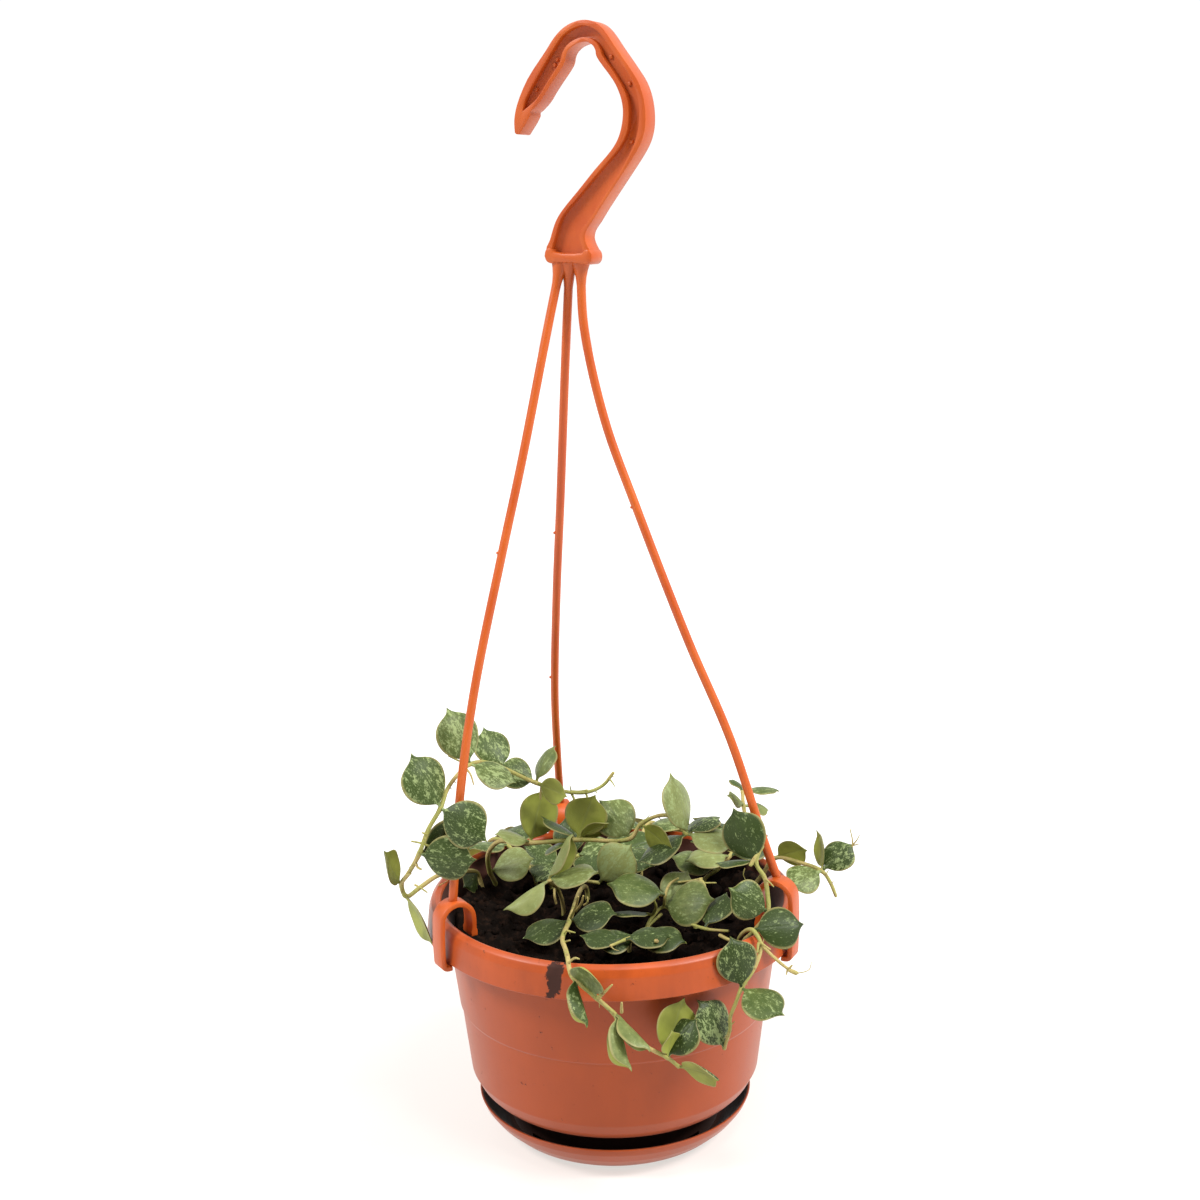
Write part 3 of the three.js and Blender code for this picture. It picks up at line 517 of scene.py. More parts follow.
class Finish:
    """A material that is put together from nodes."""

    def __init__(self, name):
        self.material = bpy.data.materials.new(name)
        self.material.use_nodes = True
        self.tree = self.material.node_tree
        self.tree.nodes.clear()

    def node(self, kind, settings=None, inputs=None, output=0):
        """Adds a node: first its settings, then the values or links of its sockets."""
        made = self.tree.nodes.new(kind)
        for key, value in (settings or {}).items():
            setattr(made, key, value)
        for key, value in (inputs or {}).items():
            if isinstance(value, Reading):
                self.tree.links.new(value.socket, made.inputs[key])
            else:
                made.inputs[key].default_value = value
        return None if output is None else Reading(self, made.outputs[output])

    def steps(self, value, low, high):
        """0 below low, 1 above high, and smooth between them."""
        settings = {"interpolation_type": "SMOOTHSTEP"}
        return self.node("ShaderNodeMapRange", settings, {0: value, 1: low, 2: high})

    def mix(self, mask, first, second):
        """The first colour where the mask is 0, the second where it is 1."""
        sockets = [v if isinstance(v, Reading) else (*v, 1) for v in (first, second)]
        settings = {"data_type": "RGBA", "blend_type": "MIX"}
        return self.node("ShaderNodeMix", settings, {0: mask, 6: sockets[0], 7: sockets[1]}, 2)

    def noise(self, place, scale, detail, roughness=0.5):
        """Cloudy noise about 0.5, whose clouds are about 1 / scale wide."""
        inputs = {"Vector": place, "Scale": scale, "Detail": detail, "Roughness": roughness}
        return self.node("ShaderNodeTexNoise", None, inputs)

    def place(self):
        """Where a point of the piece lies, in millimetres."""
        spot = self.node("ShaderNodeTexCoord", None, None, 3)
        return self.stretched(spot, (1 / MM, 1 / MM, 1 / MM))

    def stretched(self, vector, factors):
        """A vector multiplied by a factor along each axis."""
        settings = {"operation": "MULTIPLY"}
        return self.node("ShaderNodeVectorMath", settings, {0: vector, 1: factors})

    def parts_of(self, vector):
        """The three numbers of a vector."""
        made = self.node("ShaderNodeSeparateXYZ", None, {0: vector}).socket.node
        return [Reading(self, made.outputs[i]) for i in range(3)]

    def surface(self, inputs, height=None, bump=0.0002):
        """Ends the material in a Principled BSDF, with a bump from a height of 0 to 1."""
        sockets = dict(inputs)
        if height is not None:
            wave = {"Strength": 1, "Distance": bump, "Height": height}
            sockets["Normal"] = self.node("ShaderNodeBump", None, wave)
        shader = self.node("ShaderNodeBsdfPrincipled", None, sockets)
        self.node("ShaderNodeOutputMaterial", None, {"Surface": shader}, None)
        return self.material


def tinted(colour, red, green, blue):
    """A colour with its red, green and blue multiplied by a factor each."""
    return (colour[0] * red, colour[1] * green, colour[2] * blue)


def near(finish, place, spot, reach):
    """1 at a spot, falling to 0 at its reach, in millimetres."""
    away = finish.node("ShaderNodeVectorMath", {"operation": "DISTANCE"}, {0: place, 1: spot}, 1)
    return 1 - finish.steps(away, reach * 0.3, reach)


def plastic(name, colour, shade, grime_and_shade, gloss):
    """What both plastics start from: slow changes of tone, faint flow, fine grain and dust."""
    finish = Finish(name)
    place = finish.place()
    slow = finish.noise(place, 0.035, 3, 0.55)
    flow = finish.noise(finish.stretched(place, (0.12, 0.12, 0.03)), 1, 4, 0.6)
    fine = finish.noise(place, 2.2, 3, 0.6)
    base = finish.mix(finish.steps(slow * 0.6 + flow * 0.4, 0.36, 0.68), shade, colour)
    dust = finish.steps(finish.noise(place, 0.5, 5, 0.65), 0.6, 0.78) * 0.22
    base = finish.mix(dust, base, grime_and_shade)
    rough = gloss + flow * 0.1 + fine * 0.06 + dust * 0.6
    return finish, place, base, rough, fine


def pot_plastic(looks):
    """Terracotta coloured plastic, deeper in tone below the band, with soil on it and painted shade.

    The smear of soil lies over the front of the rim. Painted shade darkens the wall's inside above
    the soil, the saucer's inside under the pot and the rounded bottom of the pot.
    """
    colours = (tuple(looks.colour), tuple(looks.shade), tuple(looks.grime_and_shade))
    finish, place, base, rough, fine = plastic("terracotta_plastic", *colours, 0.3)
    x, y, z = finish.parts_of(place)
    speckle = finish.noise(place, 0.8, 5, 0.7)
    spill = finish.noise(place, 0.25, 4)
    smear = 0
    for spot, reach in SMEAR:
        smear = near(finish, place, spot, reach) + smear
    smear = finish.steps(smear * 0.42 + speckle * 0.9 + spill * 1.1, 1.25, 1.36)
    radius = (x**2 + y**2) ** 0.5
    # The wall's inside leans out by 0.152 mm for each mm of height, and the saucer's inside by 1.25
    # mm.
    wall = 1 - finish.steps(radius - z * 0.152, 50.5, 51.4)
    # Painted shade on the wall's inside between the soil and the rim, with a speckled edge.
    inner_band = wall * finish.steps(z, 76, 78) * (1 - finish.steps(z, 89.5, 91.5))
    inner_shade = finish.steps(inner_band + speckle * 0.4, 0.7, 0.95)
    # Painted shade inside the saucer, under the pot.
    saucer_shade = finish.steps(z - radius * 1.25, -51.5, -50.8) * (1 - finish.steps(z, 13, 14.6))
    # Painted shade on the pot's rounded bottom edge.
    foot = finish.steps(19.5 - z, 0, 3.5) * finish.steps(z, 14.4, 15) * 0.7
    base = finish.mix(0.7 - finish.steps(z, 79, 79.8) * 0.7, base, colours[1])
    # The smear is soil on the plastic. The rest is painted shade, all in the grime colour.
    dirt_and_shade = 1 - (1 - foot) * (1 - smear * 0.93) * (1 - inner_shade * 0.9) * (1 - saucer_shade * 0.95)
    base = finish.mix(dirt_and_shade, base, colours[2])
    rough = rough + dirt_and_shade * 0.4
    height = fine * 0.35 + speckle * dirt_and_shade
    gloss = {"Specular IOR Level": 0.32, "Sheen Weight": 0.12, "Sheen Roughness": 0.35}
    return finish.surface({"Base Color": base, "Roughness": rough, **gloss}, height, 0.00006)


def hanger_plastic(looks):
    """Brighter orange plastic with a satin gloss."""
    colour = tuple(looks.colour)
    shade = tinted(colour, 0.84, 0.66, 0.6)
    finish, _, base, rough, fine = plastic("orange_plastic", colour, shade, shade, 0.3)
    inputs = {"Base Color": base, "Roughness": rough, "Specular IOR Level": 0.4}
    return finish.surface(inputs, fine, 0.00005)


def potting_soil(looks):
    """Damp crumbs, nearly black partly as painted shade, with paler fibres."""
    finish = Finish("potting_soil")
    place = finish.place()
    # The soil's own dark, deepened as painted shade.
    dark = tuple(looks.colour)
    coarse = finish.noise(place, 0.3, 6, 0.7)
    grain = finish.noise(place, 1.6, 5, 0.7)
    base = finish.mix(finish.steps(coarse, 0.45, 0.75), dark, tinted(dark, 4.5, 3.4, 2.8))
    fibre = finish.noise(finish.stretched(place, (0.25, 1.5, 1)), 1.1, 4, 0.6)
    fibres = finish.steps(fibre * 0.7 + grain * 0.3, 0.66, 0.72)
    straw = (0.11, 0.07, 0.04)
    base = finish.mix(fibres * 0.6, base, straw)
    inputs = {"Base Color": base, "Roughness": 0.75 + grain * 0.25, "Specular IOR Level": 0.03}
    return finish.surface(inputs, grain, 0.0006)


def stem_skin(looks):
    """Tan to yellow-green skin, browner in spots, with fine ridges."""
    finish = Finish("stem_skin")
    place = finish.place()
    tan = tuple(looks.stem)
    slow = finish.noise(place, 0.09, 2, 0.5)
    spots = finish.noise(place, 0.55, 4, 0.65)
    grain = finish.noise(place, 2.4, 3, 0.6)
    base = finish.mix(finish.steps(slow, 0.4, 0.62), tan, tinted(tan, 0.7, 0.88, 0.6))
    base = finish.mix(finish.steps(spots, 0.56, 0.72), base, tinted(tan, 0.42, 0.3, 0.3))
    return finish.surface({"Base Color": base, "Roughness": 0.5 + grain * 0.3}, grain, 0.00025)


def leaf_skin(looks):
    """Waxy green upper faces with silvery flecks, plain olive under faces and pale margins.

    The leaves carry two attributes. "blade" is where a point lies along and across its own blade
    in millimetres, with a different third number for each leaf. "tint" is the leaf's tone, which
    is partly painted light and shade, how flecked it is, 1 on the upper face and 0 on the under
    face, and 1 at the rib and 0 at the rim.
    """
    finish = Finish("leaf_skin")
    blade = finish.node("ShaderNodeAttribute", {"attribute_name": "blade"}, None, 1)
    tint = finish.node("ShaderNodeAttribute", {"attribute_name": "tint"}, None, 0)
    inward = Reading(finish, tint.socket.node.outputs[3])
    tone, flecked, side = finish.parts_of(tint)
    across = finish.parts_of(blade)[1]
    upper, silver, under = (tuple(c) for c in (looks.upper, looks.silver, looks.under))
    # Low tones darken a leaf towards dark as painted shade. High tones bloom it pale, partly as
    # painted light.
    pale = tinted(upper, 5, 3.5, 5.6)
    dark = tinted(upper, 0.5, 0.52, 0.5)
    vein, edging = (0.2, 0.22, 0.07), (0.3, 0.26, 0.1)

    place = finish.stretched(blade, (1, 1, 7))
    streaks = finish.stretched(blade, (0.7, 1.2, 7))
    cloud = finish.noise(place, 0.11, 2, 0.5)
    patches = finish.noise(streaks, 0.48, 5, 0.66)
    fine = finish.noise(streaks, 1.6, 4, 0.7)
    grain = finish.noise(place, 3.2, 2, 0.5)
    top = finish.mix(finish.steps(tone * 0.75 + cloud * 0.5, 0.25, 0.85), dark, upper)
    bloom = finish.steps(tone * 0.8 + cloud * 0.25 + patches * 0.4, 0.7, 1.2)
    top = finish.mix(bloom * 0.75, top, pale)
    blots = finish.steps(patches + flecked * 0.1 + fine * 0.2, 0.7, 0.77)
    dots = finish.steps(fine + patches * 0.25 + flecked * 0.1, 0.73, 0.8)
    mottle = blots * (0.35 + flecked * 0.45) + dots * 0.6
    top = finish.mix(mottle, top, silver)

    # Under faces brightened as painted light through the leaf, with darker clouds and the rib.
    below = finish.mix(finish.steps(cloud, 0.3, 0.7), under, tinted(under, 0.62, 0.62, 0.62))
    off_rib = finish.node("ShaderNodeMath", {"operation": "ABSOLUTE"}, {0: across})
    rib = 1 - finish.steps(off_rib, 0.15, 0.7)
    below = finish.mix(rib * 0.3, below, vein)
    upward = finish.steps(side, 0.42, 0.6)
    base = finish.mix(upward, below, top)
    # Pale margins: partly the leaves' own, partly painted light through their thin edges.
    margin = 1 - finish.steps(inward, 0.03, 0.14)
    base = finish.mix(margin * 0.75, base, edging)
    rough = 0.36 + mottle * upward * 0.14 + grain * 0.1 + (1 - upward) * 0.1
    sunk = 1 - rib * 0.5
    height = sunk * 0.5 + patches * 0.5 + grain * 0.12
    inputs = {"Base Color": base, "Roughness": rough, "Specular IOR Level": 0.22}
    return finish.surface(inputs, height, 0.0003)


def skin(name, make, looks):
    """A material, made once."""
    return bpy.data.materials.get(name) or make(looks)


def bevelled(bm, parts, width, segments, affect):
    """Rounds corners or edges of a shape."""
    bmesh.ops.bevel(
        bm,
        geom=parts,
        offset=width,
        segments=segments,
        profile=0.5,
        affect=affect,
        clamp_overlap=True,
        material=-1,
    )


def turned(profile, rounding, facets):
    """A closed shape spun from radius and height about the pot's axis, with rounded corners."""
    bm = bmesh.new()
    points = [bm.verts.new((radius, 0, height)) for radius, height in profile]
    for first, second in zip(points, points[1:]):
        bm.edges.new((first, second))
    if rounding:
        bevelled(bm, points[1:-1], rounding, 3, "VERTICES")
    bmesh.ops.spin(
        bm,
        geom=bm.verts[:] + bm.edges[:],
        cent=(0, 0, 0),
        axis=(0, 0, 1),
        angle=TAU,
        steps=facets,
        use_merge=True,
    )
    bmesh.ops.remove_doubles(bm, verts=bm.verts, dist=1e-4)
    bmesh.ops.recalc_face_normals(bm, faces=bm.faces)
    return bm


def mapped(bm, columns, rows, place):
    """A sheet whose points go where place says, from a column's number and 0 to 1 along it."""
    sheet = bmesh.ops.create_grid(bm, x_segments=columns, y_segments=rows, size=1)["verts"]
    for vert in sheet:
        vert.co = place(round((vert.co.x + 1) / 2 * columns), (vert.co.y + 1) / 2)
    return sheet


def route(points, steps):
    """Points along the same centripetal curve as the part's, with steps between way-points."""
    way = [Vector(p) for p in points]
    way = [2 * way[0] - way[1], *way, 2 * way[-1] - way[-2]]
    line = []
    for i in range(len(way) - 3):
        a, b, c, d = way[i : i + 4]
        t0, t1, t2 = (max((q - p).length ** 0.5, 1e-4) for p, q in ((a, b), (b, c), (c, d)))
        leave = ((b - a) / t0 - (c - a) / (t0 + t1) + (c - b) / t1) * t1
        meet = ((c - b) / t1 - (d - b) / (t1 + t2) + (d - c) / t2) * t1
        for k in range(steps):
            t = k / steps
            between = b * (2 * t**3 - 3 * t**2 + 1) + c * (3 * t**2 - 2 * t**3)
            line.append(between + leave * (t**3 - 2 * t**2 + t) + meet * (t**3 - t**2))
    return [*line, way[-2].copy()]


def rod(bm, line, radii, sides):
    """A round rod along a line of points, with a radius at each of them and domed ends."""
    line = [line[0], line[0], *line, line[-1], line[-1]]
    radii = [0, 0.75 * radii[0], *radii, 0.75 * radii[-1], 0]
    last = len(line) - 1
    ways = [(line[min(i + 1, last)] - line[max(i - 1, 0)]).normalized() for i in range(len(line))]
    ways[:2] = [ways[2]] * 2
    ways[-2:] = [ways[-3]] * 2
    line[0] = line[2] - ways[2] * radii[2] * 0.6
    line[1] = line[2] - ways[2] * radii[2] * 0.4
    line[-1] = line[-3] + ways[-3] * radii[-3] * 0.6
    line[-2] = line[-3] + ways[-3] * radii[-3] * 0.4
    side = ways[0].orthogonal().normalized()
    frames = []
    for way in ways:
        side = (side - way * side.dot(way)).normalized()
        frames.append((side, way.cross(side)))

    def place(i, v):
        one, other = frames[i]
        angle = TAU * v
        return line[i] + (one * math.cos(angle) + other * math.sin(angle)) * radii[i]

    made = mapped(bm, last, sides, place)
    bmesh.ops.remove_doubles(bm, verts=made, dist=1e-3)


def made_object(name, bm, skins=()):
    """An object at the origin with the shape as its mesh."""
    mesh = bpy.data.meshes.new(name)
    bm.to_mesh(mesh)
    bm.free()
    for material in skins:
        mesh.materials.append(material)
    made = bpy.data.objects.new(name, mesh)
    bpy.context.scene.collection.objects.link(made)
    return made


def piece(name, bm, skins, nodes, crease=None):
    """Turns a shape in millimetres into a finished piece that stands for the part's nodes.

    It is shaded smooth, apart from edges that turn by more than the crease angle, if it has one.
    """
    bmesh.ops.scale(bm, vec=(MM, MM, MM), verts=bm.verts)
    for face in bm.faces:
        face.smooth = True
    made = made_object(name, bm, skins)
    if crease is not None:
        made.data.set_sharp_from_angle(angle=math.radians(crease))
    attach(made, "root")
    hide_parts(*nodes)
    return made


def cut_away(bm, cutters):
    """What is left of a shape when the cutters are taken from it."""
    body = made_object("body", bm)
    tool = made_object("tool", cutters)
    boolean = body.modifiers.new("Cut", "BOOLEAN")
    boolean.operation = "DIFFERENCE"
    boolean.solver = "EXACT"
    boolean.object = tool
    graph = bpy.context.evaluated_depsgraph_get()
    mesh = bpy.data.meshes.new_from_object(body.evaluated_get(graph))
    left = bmesh.new()
    left.from_mesh(mesh)
    bpy.data.meshes.remove(mesh)
    for one in (body, tool):
        old = one.data
        bpy.data.objects.remove(one)
        bpy.data.meshes.remove(old)
    return left


def pot_shape(looks):
    """The pot with its drain holes and the notches of its ring foot."""
    body = turned(POT_PROFILE, looks.edge_round / MM, looks.facets)
    tools = bmesh.new()
    hole = {"radius1": DRAINS["radius"], "radius2": DRAINS["radius"], "depth": DRAINS["depth"]}
    for i in range(DRAINS["count"]):
        angle = i * TAU / DRAINS["count"]
        x, y = DRAINS["ring"] * math.cos(angle), DRAINS["ring"] * math.sin(angle)
        spot = Matrix.Translation((x, y, DRAINS["height"]))
        bmesh.ops.create_cone(tools, cap_ends=True, segments=32, matrix=spot, **hole)
    for i in range(NOTCHES["count"]):
        turn = Matrix.Rotation(math.radians(45 + i * 360 / NOTCHES["count"]), 4, "Z")
        spot = turn @ Matrix.Translation((NOTCHES["ring"], 0, NOTCHES["height"]))
        bmesh.ops.create_cube(tools, size=1, matrix=spot @ Matrix.Diagonal((*NOTCHES["size"], 1)))
    return cut_away(body, tools)


def soil_height(x, y):
    """The height of the soil's top, the same as the part's, before its crumbs."""
    ripple = 0.9 * math.sin(0.31 * x + 0.7) * math.cos(0.27 * y)
    top = SOIL_TOP + (ripple + 0.6 * math.sin(0.53 * y + 0.2 * x))
    for heap_x, heap_y, height, spread in HEAPS:
        away = math.hypot(x - heap_x, y - heap_y) / spread
        top += height * math.exp(-away * away)
    return top


def crumbled(x, y, rough):
    """The height of the soil's top with its lumps and crumbs."""
    lumps = noise.turbulence(Vector((x, y, 3)) * 0.16, 5, False, noise_basis="PERLIN_ORIGINAL")
    clods = noise.voronoi(Vector((x, y, 9)) * 0.3)[0][0]
    grains = noise.voronoi(Vector((x, y, 5)) * 0.75)[0][0]
    rise = (lumps - 0.7) * 1.1 + (0.4 - clods) * 1.3 + (0.4 - grains) * 0.6
    away = math.hypot(x, y)
    bank = BANK["height"] * math.exp(-(((away - BANK["radius"]) / BANK["spread"]) ** 2))
    return soil_height(x, y) + rise * rough + bank * min(1, max(0, (y + 35) / 30))


def soil_shape(looks):
    """The filling of the pot, crumbled on top, with loose crumbs."""
    rings = 64
    wall = SOIL_PROFILE[-1][0]
    flat = [(wall * (1 - i / rings), SOIL_TOP) for i in range(1, rings + 1)]
    bm = turned([*SOIL_PROFILE, *flat], 0, 240)
    rough = looks.roughness / MM
    for vert in bm.verts:
        if vert.co.z > SOIL_TOP - 0.5:
            vert.co.z = crumbled(vert.co.x, vert.co.y, rough)
    draw = random.Random(11)
    for _ in range(looks.crumbs):
        radius = CRUMBS["reach"] * draw.random() ** 0.5
        angle = TAU * draw.random()
        x, y = radius * math.cos(angle), radius * math.sin(angle)
        size = CRUMBS["least"] + CRUMBS["range"] * draw.random() ** 4
        spot = Matrix.Translation((x, y, crumbled(x, y, rough) + size * 0.25))
        clod = bmesh.ops.create_icosphere(bm, subdivisions=1, radius=size, matrix=spot)["verts"]
        for vert in clod:
            vert.co += Vector([draw.uniform(-0.3, 0.3) * size for _ in range(3)])
    return bm


def crook_point(sideways, up, proud):
    """Where a point that stands proud of the hanger's plane by so much lies in the part's frame."""
    turn = math.radians(HOOK_TURN)
    along = Vector((math.cos(turn), math.sin(turn), 0))
    out = Vector((math.sin(turn), -math.cos(turn), 0))
    return Vector((HOOK_X, 0, up)) + along * sideways + out * proud


def slab(outline, low, high):
    """A solid of the hanger's plane between two depths, from its smoothed outline."""
    line = route([(x, z, 0) for x, z in (*outline, outline[0])], 3)[:-1]
    bm = bmesh.new()
    face = bm.faces.new([bm.verts.new(crook_point(point.x, point.y, low)) for point in line])
    front = bmesh.ops.extrude_face_region(bm, geom=[face], use_keep_orig=True)["geom"]
    corners = [part for part in front if isinstance(part, bmesh.types.BMVert)]
    bmesh.ops.translate(bm, vec=crook_point(0, 0, high) - crook_point(0, 0, low), verts=corners)
    bmesh.ops.recalc_face_normals(bm, faces=bm.faces)
    return bm


def hook(looks):
    """The hook: a plate with raised edges round a recessed web on both faces."""
    deep = looks.thickness / MM / 2
    web = deep - looks.recess / MM
    tools = slab(RECESS_OUTLINE, web, deep + 1)
    added(tools, slab(RECESS_OUTLINE, -deep - 1, -web))
    return cut_away(slab(HOOK_OUTLINE, -deep, deep), tools)


def bar(looks):
    """The cross bar under the hook, a little proud of it, with its bulged ends."""
    deep = looks.thickness / MM / 2 + BAR_PROUD
    return slab(BAR_OUTLINE, -deep, deep)


def arm(bm, shape, looks):
    """One arm, flared where it leaves the bar, with the small nubs of its mould."""
    line = route(shape["line"], 8)
    thick = looks.rod_radius / MM
    radii = []
    for point in line:
        flare = max(0, 1 - (line[0].z - point.z) / FLARE["length"])
        radii.append(thick + FLARE["width"] * flare**2)
    rod(bm, line, radii, 14)
    for height in shape["marks"]:
        spot = min(line, key=lambda point: abs(point.z - height))
        out = Vector((-1, -0.3, 0)).normalized() * thick
        nub = [spot + out * 0.7, spot + out * 1.25]
        rod(bm, nub, [0.7, 0.45], 8)


def clip(bearing, top, looks):
    """One clip: a strap that grips the rim, its lip under the band and its inner end thicker."""
    bm = bmesh.new()
    half = looks.strap / MM / 2
    span = CLIP["half_span"]
    springing = top - half - span
    line = [(span - inward, CLIP["lip"] + up) for inward, up in CLIP_LIP]
    arc = 8
    for i in range(arc + 1):
        angle = math.pi * i / arc
        line.append((span * math.cos(angle), springing + span * math.sin(angle)))
    line += [(-span, CLIP["inner_end"] + 3), (-span, CLIP["inner_end"])]
    way = route([(x, z, 0) for x, z in line], 3)
    columns = len(way) - 1
    wide = CLIP["width"] / 2
    section = [(-1, -1), (1, -1), (1, 1), (-1, 1)]
    turn = Matrix.Rotation(math.radians(bearing), 3, "Z")

    def place(i, v):
        before, after = way[max(i - 1, 0)], way[min(i + 1, columns)]
        along = (after - before).normalized()
        out, side = section[round(v * 4) % 4]
        swell = half + (0.35 if i > columns - 3 else 0)
        x = way[i].x - along.y * swell * out
        z = way[i].y + along.x * swell * out
        return turn @ Vector((CLIP["middle"] + x, wide * side, z))

    made = mapped(bm, columns, 4, place)
    bmesh.ops.remove_doubles(bm, verts=made, dist=1e-3)
    open_edges = [edge for edge in bm.edges if len(edge.link_faces) == 1]
    bmesh.ops.holes_fill(bm, edges=open_edges, sides=0)
    bmesh.ops.recalc_face_normals(bm, faces=bm.faces)
    return bm


def softened(bm, width):
    """Rounds a shape's sharp edges, which turn by more than 35 degrees."""
    least = math.radians(35)
    sharp = [edge for edge in bm.edges if edge.is_manifold and edge.calc_face_angle() > least]
    bevelled(bm, sharp, width, 2, "EDGES")


def added(target, part):
    """Adds one finished shape to another."""
    mesh = bpy.data.meshes.new("part")
    part.to_mesh(mesh)
    part.free()
    target.from_mesh(mesh)
    bpy.data.meshes.remove(mesh)


def hanger_shape(looks):
    """The whole hanger: hook, bar, arms and clips, which are one moulding."""
    whole = bmesh.new()
    parts = [(hook(looks), 0.35), (bar(looks), 0.8)]
    parts += [(clip(one["bearing"], one["top"], looks), 0.4) for one in ARMS]
    for part, width in parts:
        softened(part, width)
        added(whole, part)
    for one in ARMS:
        arm(whole, one, looks)
    web = looks.thickness / MM / 2 - looks.recess / MM
    for sideways, up in HOOK_MARKS:
        mark = [crook_point(sideways, up, web + proud) for proud in (-0.4, 0.25)]
        rod(whole, mark, [0.85, 0.8], 12)
    bmesh.ops.recalc_face_normals(whole, faces=whole.faces)
    return whole


def leaf(bm, layers, joint, bearing, lift, roll, length, fold, number, tone):
    """One leaf with its stalk, round with a drawn-out point, growing from a joint of a stem.

    The tone is how pale, partly as painted light and shade, and how flecked it is, and last, if
    given, that it is turned over. Each leaf draws its own bend of the point, hollow and waviness.
    """
    flipped = len(tone) > 2
    blade = length - LEAF["petiole"]
    slope = math.tan(math.radians(fold))
    breadth = LEAF["breadth"] * math.cos(math.radians(fold)) / math.cos(math.radians(LEAF["fold"]))
    draw = random.Random(number * 31 + 5)
    skew = draw.choice((-1, 1)) * draw.uniform(0.1, 0.5)
    cup = draw.uniform(0.0, 0.035)
    tip = draw.uniform(-0.9, 0.6)
    wave = draw.uniform(0, TAU)
    rows = [(s * LEAF["petiole"], half, thick, 0) for s, half, thick in LEAF_STALK]
    for s, half, thick in LEAF_BLADE:
        rows.append((LEAF["petiole"] + s * blade, half * blade * breadth, thick, s))
    turn = Matrix.Rotation(math.radians(bearing), 3, "Z")
    turn @= Matrix.Rotation(math.radians(-lift), 3, "Y")
    turn @= Matrix.Rotation(math.radians(roll), 3, "X")
    blade_layer, tint_layer = layers
    marks = []

    def place(i, v):
        x, half, thick, s = rows[i]
        angle = TAU * v
        across = math.cos(angle)
        rise = math.copysign(abs(math.sin(angle)) ** 0.7, math.sin(angle))
        y = half * across
        soft = (y * y + 0.25) ** 0.5 - 0.5
        stalk = 0.5 if s else 0.5 * x / LEAF["petiole"]
        z = stalk + LEAF["arch"] * blade * math.sin(math.pi * s) - soft * slope
        z -= cup * blade * abs(across) ** 3 * min(1, 4 * s)
        z += 0.25 * math.sin(wave + 9 * s) * abs(across) ** 2 * min(1, 5 * s)
        z += tip * max(0, s - 0.82) * 8
        y += skew * blade * max(0, s - 0.78) ** 1.3
        z += thick * rise * (1 - 0.3 * abs(across))
        marks.append((x, y, 0.5 + 0.5 * rise, 1 - abs(across)))
        return turn @ Vector((x, y, z)) + joint

    made = mapped(bm, len(rows) - 1, LEAF_AROUND, place)
    for vert, (x, y, side, inward) in zip(made, marks):
        vert[blade_layer] = (x, y, number)
        vert[tint_layer] = (tone[0], tone[1], 1 - side if flipped else side, inward)
    bmesh.ops.remove_doubles(bm, verts=made, dist=1e-3)
    for face in {face for vert in made if vert.is_valid for face in vert.link_faces}:
        face.material_index = 1


def leafy_stem(bm, shape, tones_and_shade, twigs, number, looks):
    """A stem with its branch, swollen joints, rootlets and leaves."""
    layers = (bm.verts.layers.float_vector.new("blade"), bm.verts.layers.float_color.new("tint"))
    draw = random.Random(number)
    steps = 5
    joints = [Vector(point) for point in shape["stem"]]
    leafy = {row[0] for row in shape["leaves"]}
    ways = [(shape["stem"], shape["radius"], 0)]
    if "branch" in shape:
        ways.append((shape["branch"], shape["radius"] * STEM["branch"], len(joints)))
        joints += [Vector(point) for point in shape["branch"]]
    for points, radius, start in ways:
        line = route(points, steps)
        radii = []
        for i in range(len(line)):
            taper = 1 - STEM["taper"] * i / (len(line) - 1)
            swell = STEM["swell"] if i % steps == 0 and start + i // steps in leafy else 0
            uneven = draw.uniform(-STEM["uneven"], STEM["uneven"])
            radii.append(radius * (taper + swell + uneven))
        rod(bm, line, radii, 9)
        for i in range(3 * steps, len(line)):
            if draw.random() > STEM["rootlets"] * looks.rootlets:
                continue
            out = Vector([draw.uniform(-1, 1) for _ in range(3)]).normalized()
            reach = draw.uniform(1.4, 3.4)
            bend = Vector([draw.uniform(-0.6, 0.6) for _ in range(3)])
            root = [line[i], line[i] + out * reach * 0.6, line[i] + (out + bend * 0.5) * reach]
            rod(bm, root, ROOTLET, 5)
    for order, (index, bearing, lift, roll, length, *fold) in enumerate(shape["leaves"]):
        fold = fold[0] if fold else LEAF["fold"]
        drawn = (draw.uniform(0.1, 0.7), draw.uniform(0.1, 0.8))
        # A listed tone is partly painted light and shade. A drawn one is the leaf's own tone.
        tone = tones_and_shade.get(order, drawn)
        key = number * 20 + order
        leaf(bm, layers, joints[index], bearing, lift, roll, length, fold, key, tone)
    for first, last, way in twigs:
        line = route(way, 3)
        count = len(line) - 1
        rod(bm, line, [first + (last - first) * i / count for i in range(count + 1)], 7)
    bmesh.ops.recalc_face_normals(bm, faces=bm.faces)


def staged(name, bm, material):
    """A piece of the stage."""
    made = made_object(name, bm, [material])
    return made


def glowing(finish, inputs):
    """A finish that glows, which Cycles doesn't take for a lamp, because that would be slower."""
    finish.surface({**inputs, "Emission Strength": 1})
    finish.material.cycles.emission_sampling = "NONE"
    return finish.material


